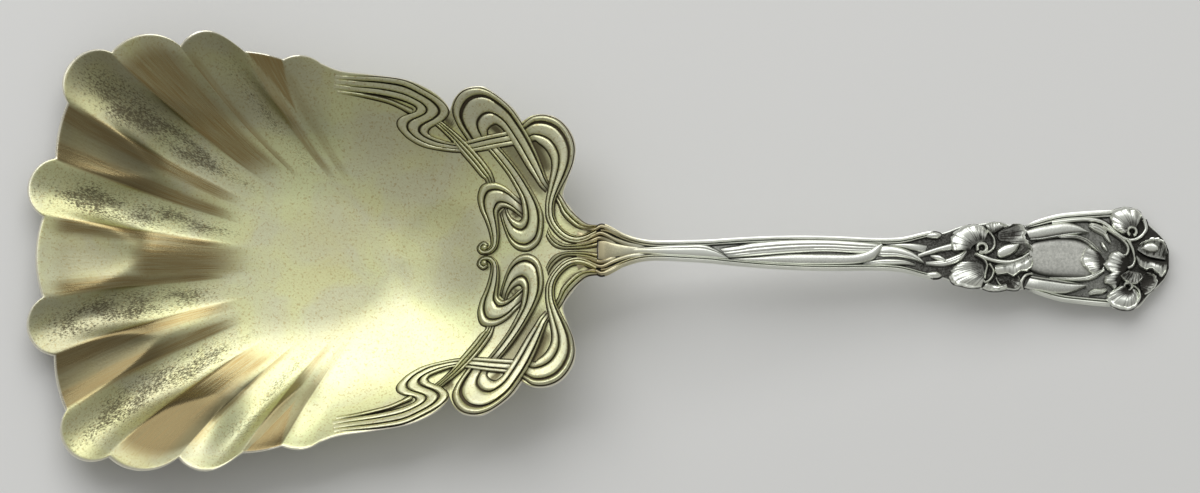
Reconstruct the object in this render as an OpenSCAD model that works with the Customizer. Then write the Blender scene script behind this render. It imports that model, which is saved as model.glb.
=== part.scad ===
// Serving spoon: a fluted, scalloped gilt bowl with ribbon scrollwork on its
// shoulders, soldered to a silver handle with leaf and iris relief.
// Millimetres, +Z up. The origin lies on the table under the middle of the
// spoon's length, and +X points to the end of the handle.

/* [Bowl] */
// Length of the bowl from its tip to the seam at the neck
bowl_length = 114.2; // [95:0.2:135]
// Width of the bowl over its widest flutes
bowl_width = 89; // [70:0.5:110]
// Height of the rim at the sides above the inside of the base
bowl_depth = 14; // [8:0.5:18]
// Height of the rim at the tip above the inside of the base
lip_height = 4.5; // [2:0.5:14]
// Thickness of the bowl's sheet
bowl_wall = 1.1; // [0.8:0.1:2]
// Greatest height of the ridges above the channels
crest_height = 2.6; // [0.5:0.1:3.5]
// Length of the flat on the base, on which the bowl rests
base_length = 30; // [20:1:34]
// Thickness of the neck where it meets the seam
neck_thickness = 2.4; // [1.6:0.1:3.4]

/* [Shoulder ribbons] */
// Height of the ribbons above the bowl
ribbon_height = 1; // [0.5:0.1:1.6]
// Depth of the solder bed under each ribbon
ribbon_bed = 0.25; // [0.2:0.05:0.4]

/* [Handle] */
// Length of the handle from the seam to its end
handle_length = 114; // [90:1:140]
// Width of the handle over its terminal
handle_width = 21; // [15:0.2:26]
// Thickness of the handle's blank at the neck
shank_thickness = 3; // [2:0.1:4]
// Thickness of the handle's blank at its end
end_thickness = 2; // [1.4:0.1:3]
// Length over which the handle bends down from the level neck
bend_length = 14; // [4:1:100]
// Width of the solder seam between the bowl and the handle
seam_width = 0.4; // [0.2:0.1:0.8]

/* [Handle relief] */
// Width of the reeds along the edges of the shank
moulding_width = 0.6; // [0.4:0.1:0.8]
// Height of the reeds along the edges
moulding_height = 0.8; // [0.4:0.1:1.4]
// Height of the leaves
leaf_height = 0.9; // [0.4:0.1:1.5]
// Height of the iris petals
petal_height = 1.4; // [0.6:0.1:2.2]
// Height of the plain cartouche
cartouche_height = 0.6; // [0.3:0.1:1.2]
// Depth of the solder bed under the relief
relief_bed = 0.1; // [0.05:0.05:0.3]
// Clearance between neighbouring pieces of the relief
relief_gap = 0.15; // [0.1:0.05:0.3]

/* [Hidden] */
gilt = [0.80, 0.76, 0.55];
silver = [0.76, 0.77, 0.76];
solder = [0.55, 0.42, 0.28];
overall_length = bowl_length + seam_width + handle_length;
tip_x = -overall_length / 2;
handle_x = tip_x + bowl_length + seam_width;

// The points of the bowl are drawn for this size and follow the bowl's own
drawn_bowl = [114.2, 89];
bowl_scale = [bowl_length / drawn_bowl.x, bowl_width / drawn_bowl.y];
// The points of the handle's relief are drawn for this size
drawn_handle = [114, 21];
handle_scale = [handle_length / drawn_handle.x, handle_width / drawn_handle.y];

function scaled(p, s) = [p.x * s.x, p.y * s.y];
function blend(a, b, t) = a + (b - a) * t;
function ease(t) = let (c = min(1, max(0, t))) c * c * (3 - 2 * c);

// A smooth curve through rows of numbers, points or pairs of points
function curve_at(a, b, c, d, t) =
    0.5 * (2 * b + (c - a) * t + (2 * a - 5 * b + 4 * c - d) * t * t
    + (3 * b - a - 3 * c + d) * t * t * t);
function smooth_rows(rows, steps) =
    let (last = len(rows) - 1)
    [for (i = [0:last - 1]) for (j = [0:steps - 1])
        curve_at(rows[max(i - 1, 0)], rows[i], rows[i + 1], rows[min(i + 2, last)], j / steps),
     rows[last]];

// The dish of the bowl: rubbed flat on its base, with walls that rise to the rim.
// The rim is low at the tip, like a scoop's, the dish narrows towards the
// shoulders, and its back levels out at the neck.
dish_middle = 54.6 * bowl_scale.x;
dish_back = bowl_length - dish_middle;
dish_side = bowl_width / 2;
shoulder_side = 36.5 * bowl_scale.y;
lip_run = [6 * bowl_scale.x, 38 * bowl_scale.x];
shoulder_run = [36 * bowl_scale.x, 92 * bowl_scale.x];
squareness = 3;
wall_power = 2;
belly = 0.3;
base_share = base_length / 2 / dish_middle;
base_flat = bowl_depth * belly * base_share * base_share;
function along_run(x, run) = ease((x - run[0]) / (run[1] - run[0]));
function depth(x) = blend(lip_height, bowl_depth, along_run(x, lip_run));
function dish_share(x, y) =
    let (reach = x < dish_middle ? dish_middle : dish_back,
         width = blend(dish_side, shoulder_side, along_run(x, shoulder_run)),
         along = pow(abs(x - dish_middle) / reach, squareness),
         across = pow(abs(y) / width, squareness),
         distance = pow(along + across, 1 / squareness),
         climb = max(0, distance - base_share) / (1 - base_share),
         wall = blend(pow(climb, wall_power), distance * distance, belly),
         back = x > dish_middle ? along / (along + across) : 0)
    blend(wall, ease(climb), back);
function dish_z(x, y) = bowl_wall - base_flat + depth(x) * dish_share(x, y);
neck_z = dish_z(bowl_length, 0);

// Half of the rim from the tip to the neck: cusps with round lobes between
// them, then the edge that follows the ribbons of the shoulder.
// Each cusp is [x, y, rise of the lobe that follows, height of its crest]. The
// first lobe is a ridge, and from there channels and ridges take turns. The last
// lobe runs out into the plain shoulder.
cusps = [
    [3.0, -8.2, 1.4, 1.0], [3.0, 8.2, 4.29, 1.0], [5.4, 20.0, 0.6, 1.0], [7.8, 31.2, 5.0, 1.0],
    [16.6, 41.0, 2.8, 1.0], [30.6, 41.6, 3.4, 0.9], [43.4, 40.6, 0.3, 0.7], [51.2, 39.1, 1.1, 0.4],
    [58.6, 38.4, 0, 0]];
shoulder_edge = [
    [58.6, 38.4], [62.6, 36.9], [68.6, 36.1], [76.0, 34.9], [80.9, 32.8], [83.6, 30.6], [84.6, 28.9]];
top_loop_edge = [
    [84.6, 28.9], [85.5, 31.2], [87.3, 32.8], [89.8, 33.3], [92.2, 32.8], [96.9, 29.3], [99.1, 26.3]];
side_loop_edge = [
    [99.1, 26.3], [101.0, 27.4], [103.3, 27.6], [105.7, 27.0], [107.8, 25.3], [109.3, 23.0],
    [109.8, 20.4], [109.4, 17.8], [108.5, 15.3], [107.3, 11.3], [108.8, 8.7], [111.0, 6.3],
    [114.2, 5.2]];
lobe_steps = 6;

// A point of the arc from a to b that rises by rise to the left of a-b
function arc_point(a, b, rise, s) =
    let (chord = norm(b - a),
         radius = (chord * chord / 4 + rise * rise) / (2 * rise),
         u = (b - a) / chord,
         half_turn = rise > chord / 2
            ? 180 - asin(chord / 2 / radius) : asin(chord / 2 / radius),
         turn = half_turn * (2 * s - 1))
    (a + b) / 2 + u * radius * sin(turn)
    + [-u.y, u.x] * (radius * cos(turn) - radius + rise);
function lobe(number, from) = [for (j = [from:lobe_steps - 1])
    let (a = cusps[number],
         b = cusps[number + 1],
         s = j / lobe_steps,
         p = arc_point([a.x, a.y], [b.x, b.y], a[2], s),
         side = abs(2 * s - 1),
         place = number == len(cusps) - 2 ? 1 - s : number % 2 == 1 ? side : 2 - side)
    [p.x, p.y, place, blend(a[3], b[3], ease(s))]];
function plain_edge(points) = [for (p = points) [p.x, p.y, 0, 0]];
function without_last(points) = [for (i = [0:len(points) - 2]) points[i]];

// Each point of the rim is [x, y, place across its flute, height of its crest]
rim_half = concat(
    lobe(0, lobe_steps / 2),
    [for (i = [1:len(cusps) - 2]) each lobe(i, 0)],
    without_last(plain_edge(shoulder_edge)),
    without_last(plain_edge(top_loop_edge)),
    plain_edge(side_loop_edge));
rim = [
    for (p = rim_half) [p.x * bowl_scale.x, p.y * bowl_scale.y, p[2], p[3]],
    for (i = [len(rim_half) - 1:-1:1])
        let (p = rim_half[i])
        [p.x * bowl_scale.x, -p.y * bowl_scale.y, p[2], p[3]]];

// The flutes run in from the rim on curved lines that gather at one point
gather = [76.6 * bowl_scale.x, 0];
front_aim = [54.6 * bowl_scale.x, 0];
aim_pull = 0.6;
rings = [0.14, 0.27, 0.4, 0.52, 0.63, 0.74, 0.84, 0.92, 1];
function flute_line(p, t) =
    let (aim = blend(front_aim, gather, ease(p.x / gather.x)),
         bend = blend([p.x, p.y], aim, aim_pull))
    gather * (1 - t) * (1 - t) + bend * 2 * t * (1 - t) + [p.x, p.y] * t * t;

// Share of the crest's height at a place across the flutes, which is 0 in the
// middle of a channel, 1 at its cusp and 2 in the middle of a ridge. A ridge is
// flat at the rim, narrows inwards to a crest, and the crest then runs out.
flute_start = 0.42;
flute_peak = 0.8;
ridge_end = 0.68;
ridge_taper = 4;
rim_share = 0.55;
channel_power = 1.8;
ridge_dip = 0.22;
function flute(place, t) =
    let (crest = 1 + pow(min(1, (1 - t) / (1 - ridge_end)), ridge_taper),
         slope = sin(90 * pow(min(1, place / crest), channel_power)),
         dip = ridge_dip * (2 - crest) * (crest < 2 ? 1 - pow((2 - place) / (2 - crest), 2) : 0),
         swell = ease((t - flute_start) / (flute_peak - flute_start)),
         droop = (1 - rim_share) * ease((t - flute_peak) / (1 - flute_peak)))
    (place < crest ? slope : 1 - dip) * swell * (1 - droop);
function bowl_point(p, t) =
    let (q = flute_line(p, t))
    [q.x, q.y, dish_z(q.x, q.y) + crest_height * p[3] * flute(p[2], t)];

// The sheet thickens towards the neck, which carries the handle
neck_run = 16;
function sheet(x) =
    blend(bowl_wall, neck_thickness, ease(1 - (bowl_length - x) / neck_run));
function under(p) = [p.x, p.y, max(0, p.z - sheet(p.x))];

module bowl() {
    n = len(rim);
    last = len(rings) - 1;
    inside = [[gather.x, gather.y, dish_z(gather.x, 0)],
        for (t = rings) for (p = rim) bowl_point(p, t)];
    outside = [for (p = inside) under(p)];
    base = len(inside);
    function at(ring, i) = 1 + ring * n + i % n;
    fan = [for (i = [0:n - 1]) [0, at(0, i), at(0, i + 1)]];
    bands = [for (r = [0:last - 1]) for (i = [0:n - 1]) each [
        [at(r, i), at(r + 1, i), at(r + 1, i + 1)],
        [at(r, i), at(r + 1, i + 1), at(r, i + 1)]]];
    skin = concat(fan, bands);
    edge = [for (i = [0:n - 1]) each [
        [at(last, i + 1), at(last, i), base + at(last, i)],
        [at(last, i + 1), base + at(last, i), base + at(last, i + 1)]]];
    back = [for (f = skin) [base + f[0], base + f[2], base + f[1]]];
    color(gilt) translate([tip_x, 0, 0])
        polyhedron(concat(inside, outside), concat(skin, edge, back));
}

// Relief: rows of point pairs, one on each edge of a strand or a leaf, swept
// with a profile of [share of the width, share of the height] on a seat
band_profile = [[0, 0.4], [0.14, 1], [0.3, 0.5], [0.62, 0.85], [1, 0.4]];
leaf_profile = [[0, 0.35], [0.5, 1], [1, 0.35]];
petal_profile = [[0, 0.55], [0.22, 1], [0.5, 0.7], [0.78, 1], [1, 0.55]];
plate_profile = [[0, 0.6], [0.12, 1], [0.88, 1], [1, 0.6]];
reed_profile = [[0, 0.4], [0.28, 1], [0.56, 0.45], [0.8, 0.85], [1, 0.35]];

module relief(rows, profile, height, seat, steps = 2) {
    path = smooth_rows(rows, steps);
    size = len(profile) + 2;
    last = len(path) - 1;
    middle = floor(last / 2);
    travel = path[middle + 1][0] + path[middle + 1][1] - path[middle][0] - path[middle][1];
    turned = cross(travel, path[middle][1] - path[middle][0]) > 0;
    points = [for (r = path) each concat(
        [[r[0].x, r[0].y, seat(r[0])]],
        [for (q = profile)
            let (p = blend(r[0], r[1], q[0]))
            [p.x, p.y, seat(p) + height * q[1]]],
        [[r[1].x, r[1].y, seat(r[1])]])];
    walls = [for (k = [0:last - 1]) for (i = [0:size - 1])
        let (a = k * size + i, b = k * size + (i + 1) % size)
        each [[a, b, b + size], [a, b + size, a + size]]];
    apex = 1 + floor(len(profile) / 2);
    cap = [for (i = [0:size - 1]) if (i != apex && (i + 1) % size != apex)
        [apex, (i + 1) % size, i]];
    far_cap = [for (f = cap) [f[0] + last * size, f[2] + last * size, f[1] + last * size]];
    faces = concat(walls, cap, far_cap);
    polyhedron(points, turned ? [for (f = faces) [f[0], f[2], f[1]]] : faces);
}

// Ribbons of the shoulder, drawn on the left side of the spoon
bowl_seat = function (p) dish_z(p.x, p.y) + ribbon_bed;
module ribbon(rows, side) {
    placed = [for (r = rows) [scaled(r[0], bowl_scale), scaled(r[1], bowl_scale)]];
    color(gilt) translate([tip_x, 0, 0]) mirror([0, side < 0 ? 1 : 0, 0])
        relief(placed, band_profile, ribbon_height, bowl_seat);
}
module rim_ribbon(side) {
    ribbon([
        [[63.5, 35.7], [62.3, 32.8]], [[70.9, 35.3], [66.4, 32.2]], [[75.9, 34.3], [70.2, 31.2]],
        [[80.5, 32.3], [73.2, 30.1]], [[83.2, 30.0], [75.4, 29.4]], [[84.0, 28.5], [76.4, 28.9]],
        [[83.2, 27.1], [75.4, 28.2]], [[81.4, 26.2], [74.1, 27.2]], [[80.8, 25.2], [74.5, 25.7]],
        [[81.6, 24.3], [76.5, 23.8]], [[83.2, 23.4], [80.4, 21.9]], [[84.6, 22.8], [86.0, 20.9]]],
        side);
    ribbon([[[88.2, 23.1], [89.9, 20.9]], [[91.6, 23.7], [93.4, 21.3]], [[94.8, 24.2], [96.6, 21.6]]],
        side);
}
module straight_band(side) ribbon([
    [[83.7, 26.2], [82.7, 25.4]], [[86.1, 24.2], [84.9, 23.2]], [[88.5, 22.0], [86.9, 20.7]],
    [[90.8, 19.4], [89.2, 18.0]], [[92.6, 16.9], [90.8, 16.0]], [[93.2, 15.5], [91.7, 15.2]]], side);
module top_loop(side) ribbon([
    [[87.7, 23.8], [92.0, 24.5]], [[86.1, 26.2], [92.1, 24.9]], [[85.2, 28.6], [92.4, 25.3]],
    [[85.9, 30.9], [92.8, 25.6]], [[87.6, 32.4], [93.2, 25.8]], [[90.2, 32.8], [93.7, 25.9]],
    [[93.0, 31.8], [94.2, 25.7]], [[96.2, 29.3], [95.1, 25.0]], [[98.3, 26.6], [96.2, 23.5]],
    [[100.2, 23.6], [97.9, 20.8]], [[102.0, 19.9], [99.9, 17.4]], [[103.2, 16.7], [101.5, 15.0]],
    [[103.6, 14.9], [102.6, 13.3]]], side);
module side_loop(side) ribbon([
    [[99.8, 26.0], [101.6, 22.3]], [[101.4, 27.0], [102.3, 21.8]], [[103.8, 27.1], [103.1, 21.2]],
    [[106.3, 26.1], [103.8, 20.5]], [[108.2, 24.0], [104.4, 19.6]], [[109.3, 21.1], [104.9, 18.4]],
    [[109.1, 18.0], [105.0, 16.8]], [[108.1, 15.3], [104.7, 14.8]], [[106.8, 12.8], [104.3, 12.6]],
    [[105.8, 10.6], [103.9, 10.4]], [[105.4, 8.7], [103.8, 8.6]], [[105.6, 6.7], [104.0, 6.6]],
    [[106.5, 5.0], [105.1, 4.4]], [[108.1, 3.5], [107.2, 2.3]], [[109.8, 2.9], [109.6, 1.5]],
    [[111.6, 3.2], [111.9, 1.9]], [[113.6, 4.2], [113.8, 3.0]]], side);
module hairpin(side) ribbon([
    [[95.2, 20.6], [92.9, 20.3]], [[97.0, 18.4], [94.4, 18.4]], [[98.8, 15.9], [96.0, 16.2]],
    [[100.5, 13.2], [97.3, 14.0]], [[102.1, 10.2], [98.7, 11.2]], [[103.1, 7.4], [99.1, 9.0]],
    [[103.1, 4.4], [99.2, 7.5]], [[102.3, 1.8], [98.9, 6.7]], [[100.4, 0.4], [98.5, 6.4]],
    [[98.3, 0.7], [98.0, 6.5]], [[96.7, 2.2], [97.3, 6.9]], [[95.7, 4.4], [96.7, 7.5]],
    [[95.0, 6.8], [96.2, 8.3]]], side);
module swan_curl(side) ribbon([
    [[92.2, 2.2], [91.6, 1.8]], [[91.2, 2.8], [91.2, 2.1]], [[90.1, 1.7], [90.8, 1.6]],
    [[90.8, 0.4], [91.1, 1.1]], [[92.5, 0.3], [92.1, 1.1]], [[93.8, 1.3], [92.8, 1.9]],
    [[94.3, 3.2], [92.8, 3.3]], [[94.3, 5.4], [92.3, 5.4]], [[94.1, 7.3], [91.6, 7.3]],
    [[94.1, 8.5], [90.7, 9.3]], [[94.5, 9.1], [90.2, 11.6]], [[95.0, 9.4], [90.7, 13.7]],
    [[95.5, 9.4], [92.0, 14.5]], [[96.2, 9.2], [93.8, 14.4]], [[97.2, 8.6], [95.8, 13.4]],
    [[98.2, 7.8], [97.4, 11.9]]], side);
module neck_wire(side) ribbon([
    [[107.0, 10.6], [106.3, 9.4]], [[108.4, 8.3], [107.2, 7.3]], [[110.7, 6.0], [109.5, 5.0]],
    [[112.2, 5.1], [111.5, 4.2]], [[113.2, 5.0], [112.7, 4.4]]], side);
module axis_wire(side) ribbon([
    [[104.2, 4.6], [103.9, 3.5]], [[104.9, 3.3], [104.4, 2.2]], [[106.2, 2.0], [105.5, 1.0]],
    [[107.8, 1.2], [107.0, 0.4]], [[109.6, 0.9], [109.4, 0.3]], [[111.8, 1.1], [111.8, 0.3]],
    [[113.6, 1.6], [113.6, 0.4]]], side);

// The handle's blank: half its width at places along its length
handle_half_widths = [
    [0, 5.2], [0.6, 5.2], [1.6, 4.9], [2.8, 4.25], [5, 3.05], [7.4, 2.3], [10, 1.9], [12.5, 1.85], [17, 2],
    [21.6, 2.2], [26.3, 2.6], [31, 2.95], [36, 3.2], [42, 3.35], [48, 3.3], [54.6, 3.1], [59.4, 3.25],
    [62, 3.7], [64, 4.25], [66.4, 4.75], [68.4, 4.6], [70.4, 5.3], [72.2, 6], [75, 6.45], [78.3, 6.95],
    [80.4, 6.9], [82, 6.55], [84, 6.7], [85.2, 6.4], [87.1, 7.3], [89.6, 8.05], [92.1, 8.7], [95.7, 9.15],
    [99.3, 9.5], [101.8, 9.6], [102.9, 10.1], [105.4, 10.5], [107.6, 9.9], [108.6, 9], [110.2, 7],
    [111.8, 5.5], [113.2, 3.8], [114, 1.9]];
collar_run = 8;
collar_scale = bowl_scale.y;
function half_width(x) =
    let (drawn = x / handle_scale.x)
    lookup(drawn, handle_half_widths)
    * blend(collar_scale, handle_scale.y, ease(drawn / collar_run));
handle_fall = (neck_z - end_thickness) / (handle_length - bend_length / 2);
function handle_z(x) =
    neck_z - handle_fall * (x < bend_length ? x * x / 2 / bend_length : x - bend_length / 2);
function blank_thickness(x) =
    blend(blend(neck_thickness, shank_thickness, ease(x / neck_run)), end_thickness,
          ease(x / handle_length));
// Section of the blank: a flat front for the relief and a rounded back
blank_section = [
    [1, 0], [1, -0.35], [0.8, -0.75], [0.4, -1], [-0.4, -1], [-0.8, -0.75], [-1, -0.35], [-1, 0]];

module handle() {
    size = len(blank_section);
    last = len(handle_half_widths) - 1;
    points = [for (row = handle_half_widths) for (q = blank_section)
        let (x = row[0] * handle_scale.x)
        [x, q.x * half_width(x), handle_z(x) + q.y * blank_thickness(x)]];
    walls = [for (k = [0:last - 1]) for (i = [0:size - 1])
        let (a = k * size + i, b = k * size + (i + 1) % size)
        each [[a, b + size, b], [a, a + size, b + size]]];
    cap = [for (i = [1:size - 2]) [0, i, i + 1]];
    far_cap = [for (f = cap) [f[0] + last * size, f[2] + last * size, f[1] + last * size]];
    color(silver) translate([handle_x, 0, 0]) polyhedron(points, concat(walls, cap, far_cap));
}

// The seam fills the joint between the end faces of the neck and the handle
seam_clearance = 0.05;
module solder_seam() {
    neck_half = half_width(0);
    color(solder)
    translate([handle_x - seam_width + seam_clearance, -neck_half, neck_z - neck_thickness])
        cube([seam_width - 2 * seam_clearance, 2 * neck_half, neck_thickness]);
}

// Relief of the handle, drawn in millimetres from the seam
handle_seat = function (p) handle_z(p.x) + relief_bed;
module on_handle(rows, profile, height) {
    color(silver) translate([handle_x, 0, 0]) relief(rows, profile, height, handle_seat);
}
module petal(rows)
    on_handle([for (r = rows) [scaled(r[0], handle_scale), scaled(r[1], handle_scale)]],
        petal_profile, petal_height);
module blade(rows)
    on_handle([for (r = rows) [scaled(r[0], handle_scale), scaled(r[1], handle_scale)]],
        leaf_profile, leaf_height);

// Reeds along both edges of the shank, from the collar to a bulb end
moulding_margin = 0.15;
moulding_start = 0.8;
moulding_end = 66;
moulding_rows = 22;
module edge_moulding(side) {
    rows = [for (i = [0:moulding_rows])
        let (x = blend(moulding_start, moulding_end, i / moulding_rows) * handle_scale.x,
             outer = half_width(x) - moulding_margin)
        [[x, outer], [x, outer - moulding_width]]];
    color(silver) translate([handle_x, 0, 0]) mirror([0, side < 0 ? 1 : 0, 0])
        relief(rows, reed_profile, moulding_height, handle_seat, 1);
}

// Leaves fill the field between the reeds: rows of [place, share of the field]
function field(x) = half_width(x) - moulding_margin - moulding_width - relief_gap;
function in_field(p) =
    let (x = p.x * handle_scale.x)
    [x, p.y * field(x)];
module field_leaf(rows)
    on_handle([for (r = rows) [in_field(r[0]), in_field(r[1])]], leaf_profile, leaf_height);
module neck_leaf() field_leaf([
    [[8.2, 0.2], [8.2, -0.2]], [[12.2, 0.85], [12.2, -0.85]], [[17.2, 0.85], [17.2, -0.9]],
    [[21.2, 0.5], [21.2, -0.92]], [[24.0, -0.3], [24.0, -0.94]], [[25.6, -0.76], [25.6, -0.94]]]);
module long_leaf() field_leaf([
    [[26.6, -0.28], [26.6, -0.45]], [[29.2, 0.5], [29.2, -0.25]], [[33.4, 0.92], [33.4, -0.05]],
    [[42.6, 0.95], [42.6, 0.16]], [[51.8, 0.95], [51.8, 0.2]], [[56.2, 0.9], [56.2, 0.7]]]);
module curled_leaf() field_leaf([
    [[27.8, -0.72], [27.8, -0.9]], [[33.0, -0.35], [33.0, -0.93]], [[39.4, -0.12], [39.4, -0.94]],
    [[45.0, -0.08], [45.0, -0.94]], [[50.2, -0.06], [50.4, -0.92]], [[53.2, 0.02], [54.4, -0.5]],
    [[55.0, 0.26], [55.8, 0.1]], [[55.6, 0.4], [56.0, 0.34]]]);
module bud_leaf() field_leaf([
    [[57.2, 0.75], [57.2, -0.3]], [[60.0, 0.45], [60.0, -0.6]], [[63.0, -0.3], [63.0, -0.86]],
    [[64.8, -0.78], [64.8, -0.93]]]);
module iris_stem() field_leaf([
    [[63.4, 0.32], [63.4, 0.06]], [[66.5, 0.34], [66.5, 0.14]], [[69.4, 0.46], [69.4, 0.3]]]);

// Lower iris: most petals are fans, drawn from the throat out to the edge
module left_fall() petal([
    [[74.1, 1.3], [70.9, 1.1]], [[74.3, 1.7], [70.3, 2.7]], [[74.6, 2.0], [70.8, 4.3]],
    [[75.2, 2.35], [72.3, 5.5]], [[75.7, 2.65], [74.3, 6.1]], [[76.3, 2.8], [76.3, 5.9]],
    [[76.9, 2.9], [77.6, 5.0]]]);
module right_fall() petal([
    [[75.3, -1.5], [72.3, -1.5]], [[75.8, -1.7], [71.1, -2.1]], [[76.2, -1.95], [70.4, -3.1]],
    [[76.5, -2.3], [70.1, -4.3]], [[76.7, -2.8], [70.8, -5.3]], [[76.8, -3.3], [72.3, -5.9]],
    [[76.85, -3.8], [74.3, -6.3]], [[77.0, -4.3], [76.2, -6.2]]]);
module left_standard() petal([
    [[80.2, 5.1], [82.6, 6.3]], [[79.8, 4.75], [84.4, 6.3]], [[79.65, 4.25], [85.0, 4.9]],
    [[79.6, 3.75], [84.9, 3.75]], [[80.4, 3.3], [85.6, 2.8]], [[82.6, 3.1], [86.1, 2.1]],
    [[84.6, 2.6], [86.4, 1.4]]]);
module right_standard() petal([
    [[79.2, -1.9], [79.1, -3.2]], [[80.0, -1.8], [79.8, -3.8]], [[81.4, -1.8], [81.4, -3.6]],
    [[82.6, -1.75], [82.8, -4.0]], [[83.8, -1.55], [83.9, -3.3]], [[85.0, -1.1], [85.4, -2.9]],
    [[86.0, -0.5], [86.4, -2.1]], [[86.6, -0.3], [86.7, -1.1]]]);
module lower_bud() petal([
    [[79.4, 1.6], [79.4, 1.2]], [[81.0, 2.3], [81.0, 0.4]], [[83.0, 2.1], [83.0, 0.4]],
    [[84.4, 1.4], [84.4, 1.1]]]);
module long_sepal() petal([
    [[78.2, 0.1], [77.8, -0.5]], [[81.6, -0.5], [81.6, -1.4]], [[84.0, -0.3], [84.4, -1.1]],
    [[85.8, 0.7], [86.5, 0.2]]]);
module right_low_petal() petal([
    [[78.4, -4.6], [78.2, -6.2]], [[80.4, -4.5], [80.2, -6.5]], [[82.4, -4.6], [82.4, -6.2]],
    [[84.2, -4.3], [84.8, -5.9]]]);

// Plain cartouche between two leaf blades and the reeds of the terminal
module cartouche()
    on_handle([for (r = [
        [[87.2, 1.8], [87.2, -1.8]], [[88.6, 3.3], [88.6, -3.4]], [[92.0, 3.7], [92.0, -3.8]],
        [[95.0, 3.5], [95.0, -3.8]], [[96.0, 2.6], [96.0, -3.2]]])
        [scaled(r[0], handle_scale), scaled(r[1], handle_scale)]], plate_profile, cartouche_height);
module left_blade() blade([
    [[85.9, 5.3], [86.5, 3.7]], [[87.4, 5.9], [88.2, 3.9]], [[90.0, 6.5], [91.0, 4.2]],
    [[93.0, 6.9], [93.8, 4.6]], [[95.6, 6.4], [95.9, 4.9]], [[97.5, 5.4], [97.5, 5.1]]]);
module right_blade() blade([
    [[86.6, -3.8], [85.6, -6.0]], [[88.4, -4.1], [87.4, -6.5]], [[91.0, -4.4], [90.4, -7.0]],
    [[93.6, -4.85], [93.4, -7.0]], [[95.6, -5.2], [95.6, -6.5]], [[97.4, -5.5], [97.4, -5.8]]]);
module terminal_reed(side) mirror([0, side < 0 ? 1 : 0, 0]) blade([
    [[88.2, 7.3], [88.2, 6.6]], [[91.2, 8.2], [91.2, 7.4]], [[94.2, 8.7], [94.2, 7.9]],
    [[97.2, 9.1], [97.2, 8.3]], [[100.2, 9.35], [100.2, 8.55]]]);
module strap_leaf() blade([
    [[97.8, 4.3], [97.6, 3.4]], [[99.2, 3.7], [98.5, 2.7]], [[100.4, 2.4], [99.6, 1.7]],
    [[101.0, 1.5], [100.3, 1.2]]]);

// Terminal iris
module terminal_bud() petal([
    [[98.6, 6.9], [98.6, 6.4]], [[100.2, 7.4], [100.2, 5.6]], [[101.6, 7.0], [101.6, 6.0]]]);
module terminal_left_fall() petal([
    [[105.7, 5.3], [104.8, 4.9]], [[105.9, 5.55], [103.4, 5.6]], [[106.1, 5.75], [102.5, 7.0]],
    [[106.25, 5.95], [102.4, 8.5]], [[106.4, 6.05], [103.2, 9.6]], [[106.65, 6.15], [105.3, 10.2]],
    [[106.85, 6.2], [107.3, 9.8]], [[107.1, 6.2], [108.3, 8.9]], [[107.3, 6.1], [108.1, 7.7]]]);
module terminal_right_fall() petal([
    [[105.5, -5.9], [104.3, -5.8]], [[105.5, -6.1], [102.8, -6.5]], [[105.55, -6.3], [101.7, -7.6]],
    [[105.65, -6.45], [101.6, -8.5]], [[105.75, -6.6], [102.7, -9.5]], [[105.9, -6.65], [104.6, -10.1]],
    [[106.0, -6.65], [106.4, -10.0]], [[106.2, -6.6], [107.5, -9.1]], [[106.3, -6.45], [107.8, -7.6]],
    [[106.3, -6.2], [107.4, -6.6]]]);
module front_petal() petal([
    [[100.3, 0.6], [97.6, 1.8]], [[100.6, 0.05], [96.9, 1.0]], [[100.75, -0.5], [96.5, -0.2]],
    [[100.75, -1.05], [96.7, -1.4]], [[100.7, -1.6], [97.5, -2.3]], [[100.5, -2.1], [98.6, -3.1]],
    [[100.2, -2.5], [99.5, -2.9]]]);
module centre_petal() petal([
    [[105.7, 0.1], [104.3, 0.8]], [[105.9, -0.4], [103.4, 1.2]], [[105.9, -0.9], [102.4, 0.8]],
    [[105.8, -1.45], [101.8, -0.1]], [[105.65, -1.8], [101.3, -1.2]], [[105.4, -2.35], [101.6, -2.4]],
    [[105.1, -2.9], [102.4, -3.1]], [[104.8, -3.45], [101.4, -4.0]], [[104.4, -4.1], [101.5, -4.9]],
    [[104.0, -4.7], [102.2, -5.2]]]);
module end_standard() petal([
    [[107.8, 1.7], [108.0, 2.6]], [[108.8, 1.1], [109.1, 3.4]], [[109.8, 0.6], [110.6, 4.0]],
    [[111.1, 0.3], [112.1, 3.8]], [[112.2, 0.1], [112.9, 2.9]], [[113.0, 0.0], [113.4, 1.6]]]);
module end_low_petal() petal([
    [[107.5, 0.8], [107.8, -0.8]], [[108.5, 0.2], [108.3, -1.8]], [[109.7, -0.25], [109.5, -2.3]],
    [[110.8, -0.45], [110.6, -2.2]], [[111.8, -0.55], [111.7, -2.9]], [[112.7, -0.65], [112.5, -3.2]],
    [[113.3, -0.7], [113.1, -2.2]]]);

paired = ["rim_ribbon", "straight_band", "top_loop", "side_loop", "hairpin", "swan_curl", "neck_wire",
    "axis_wire", "edge_moulding", "terminal_reed"];
single = ["bowl", "solder_seam", "handle", "neck_leaf", "long_leaf", "curled_leaf", "bud_leaf",
    "iris_stem", "left_fall", "right_fall", "left_standard", "right_standard", "lower_bud",
    "long_sepal", "right_low_petal", "cartouche", "left_blade", "right_blade", "strap_leaf",
    "terminal_bud", "terminal_left_fall", "terminal_right_fall", "front_petal", "centre_petal",
    "end_standard", "end_low_petal"];
sides = [["left", 1], ["right", -1]];

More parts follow.
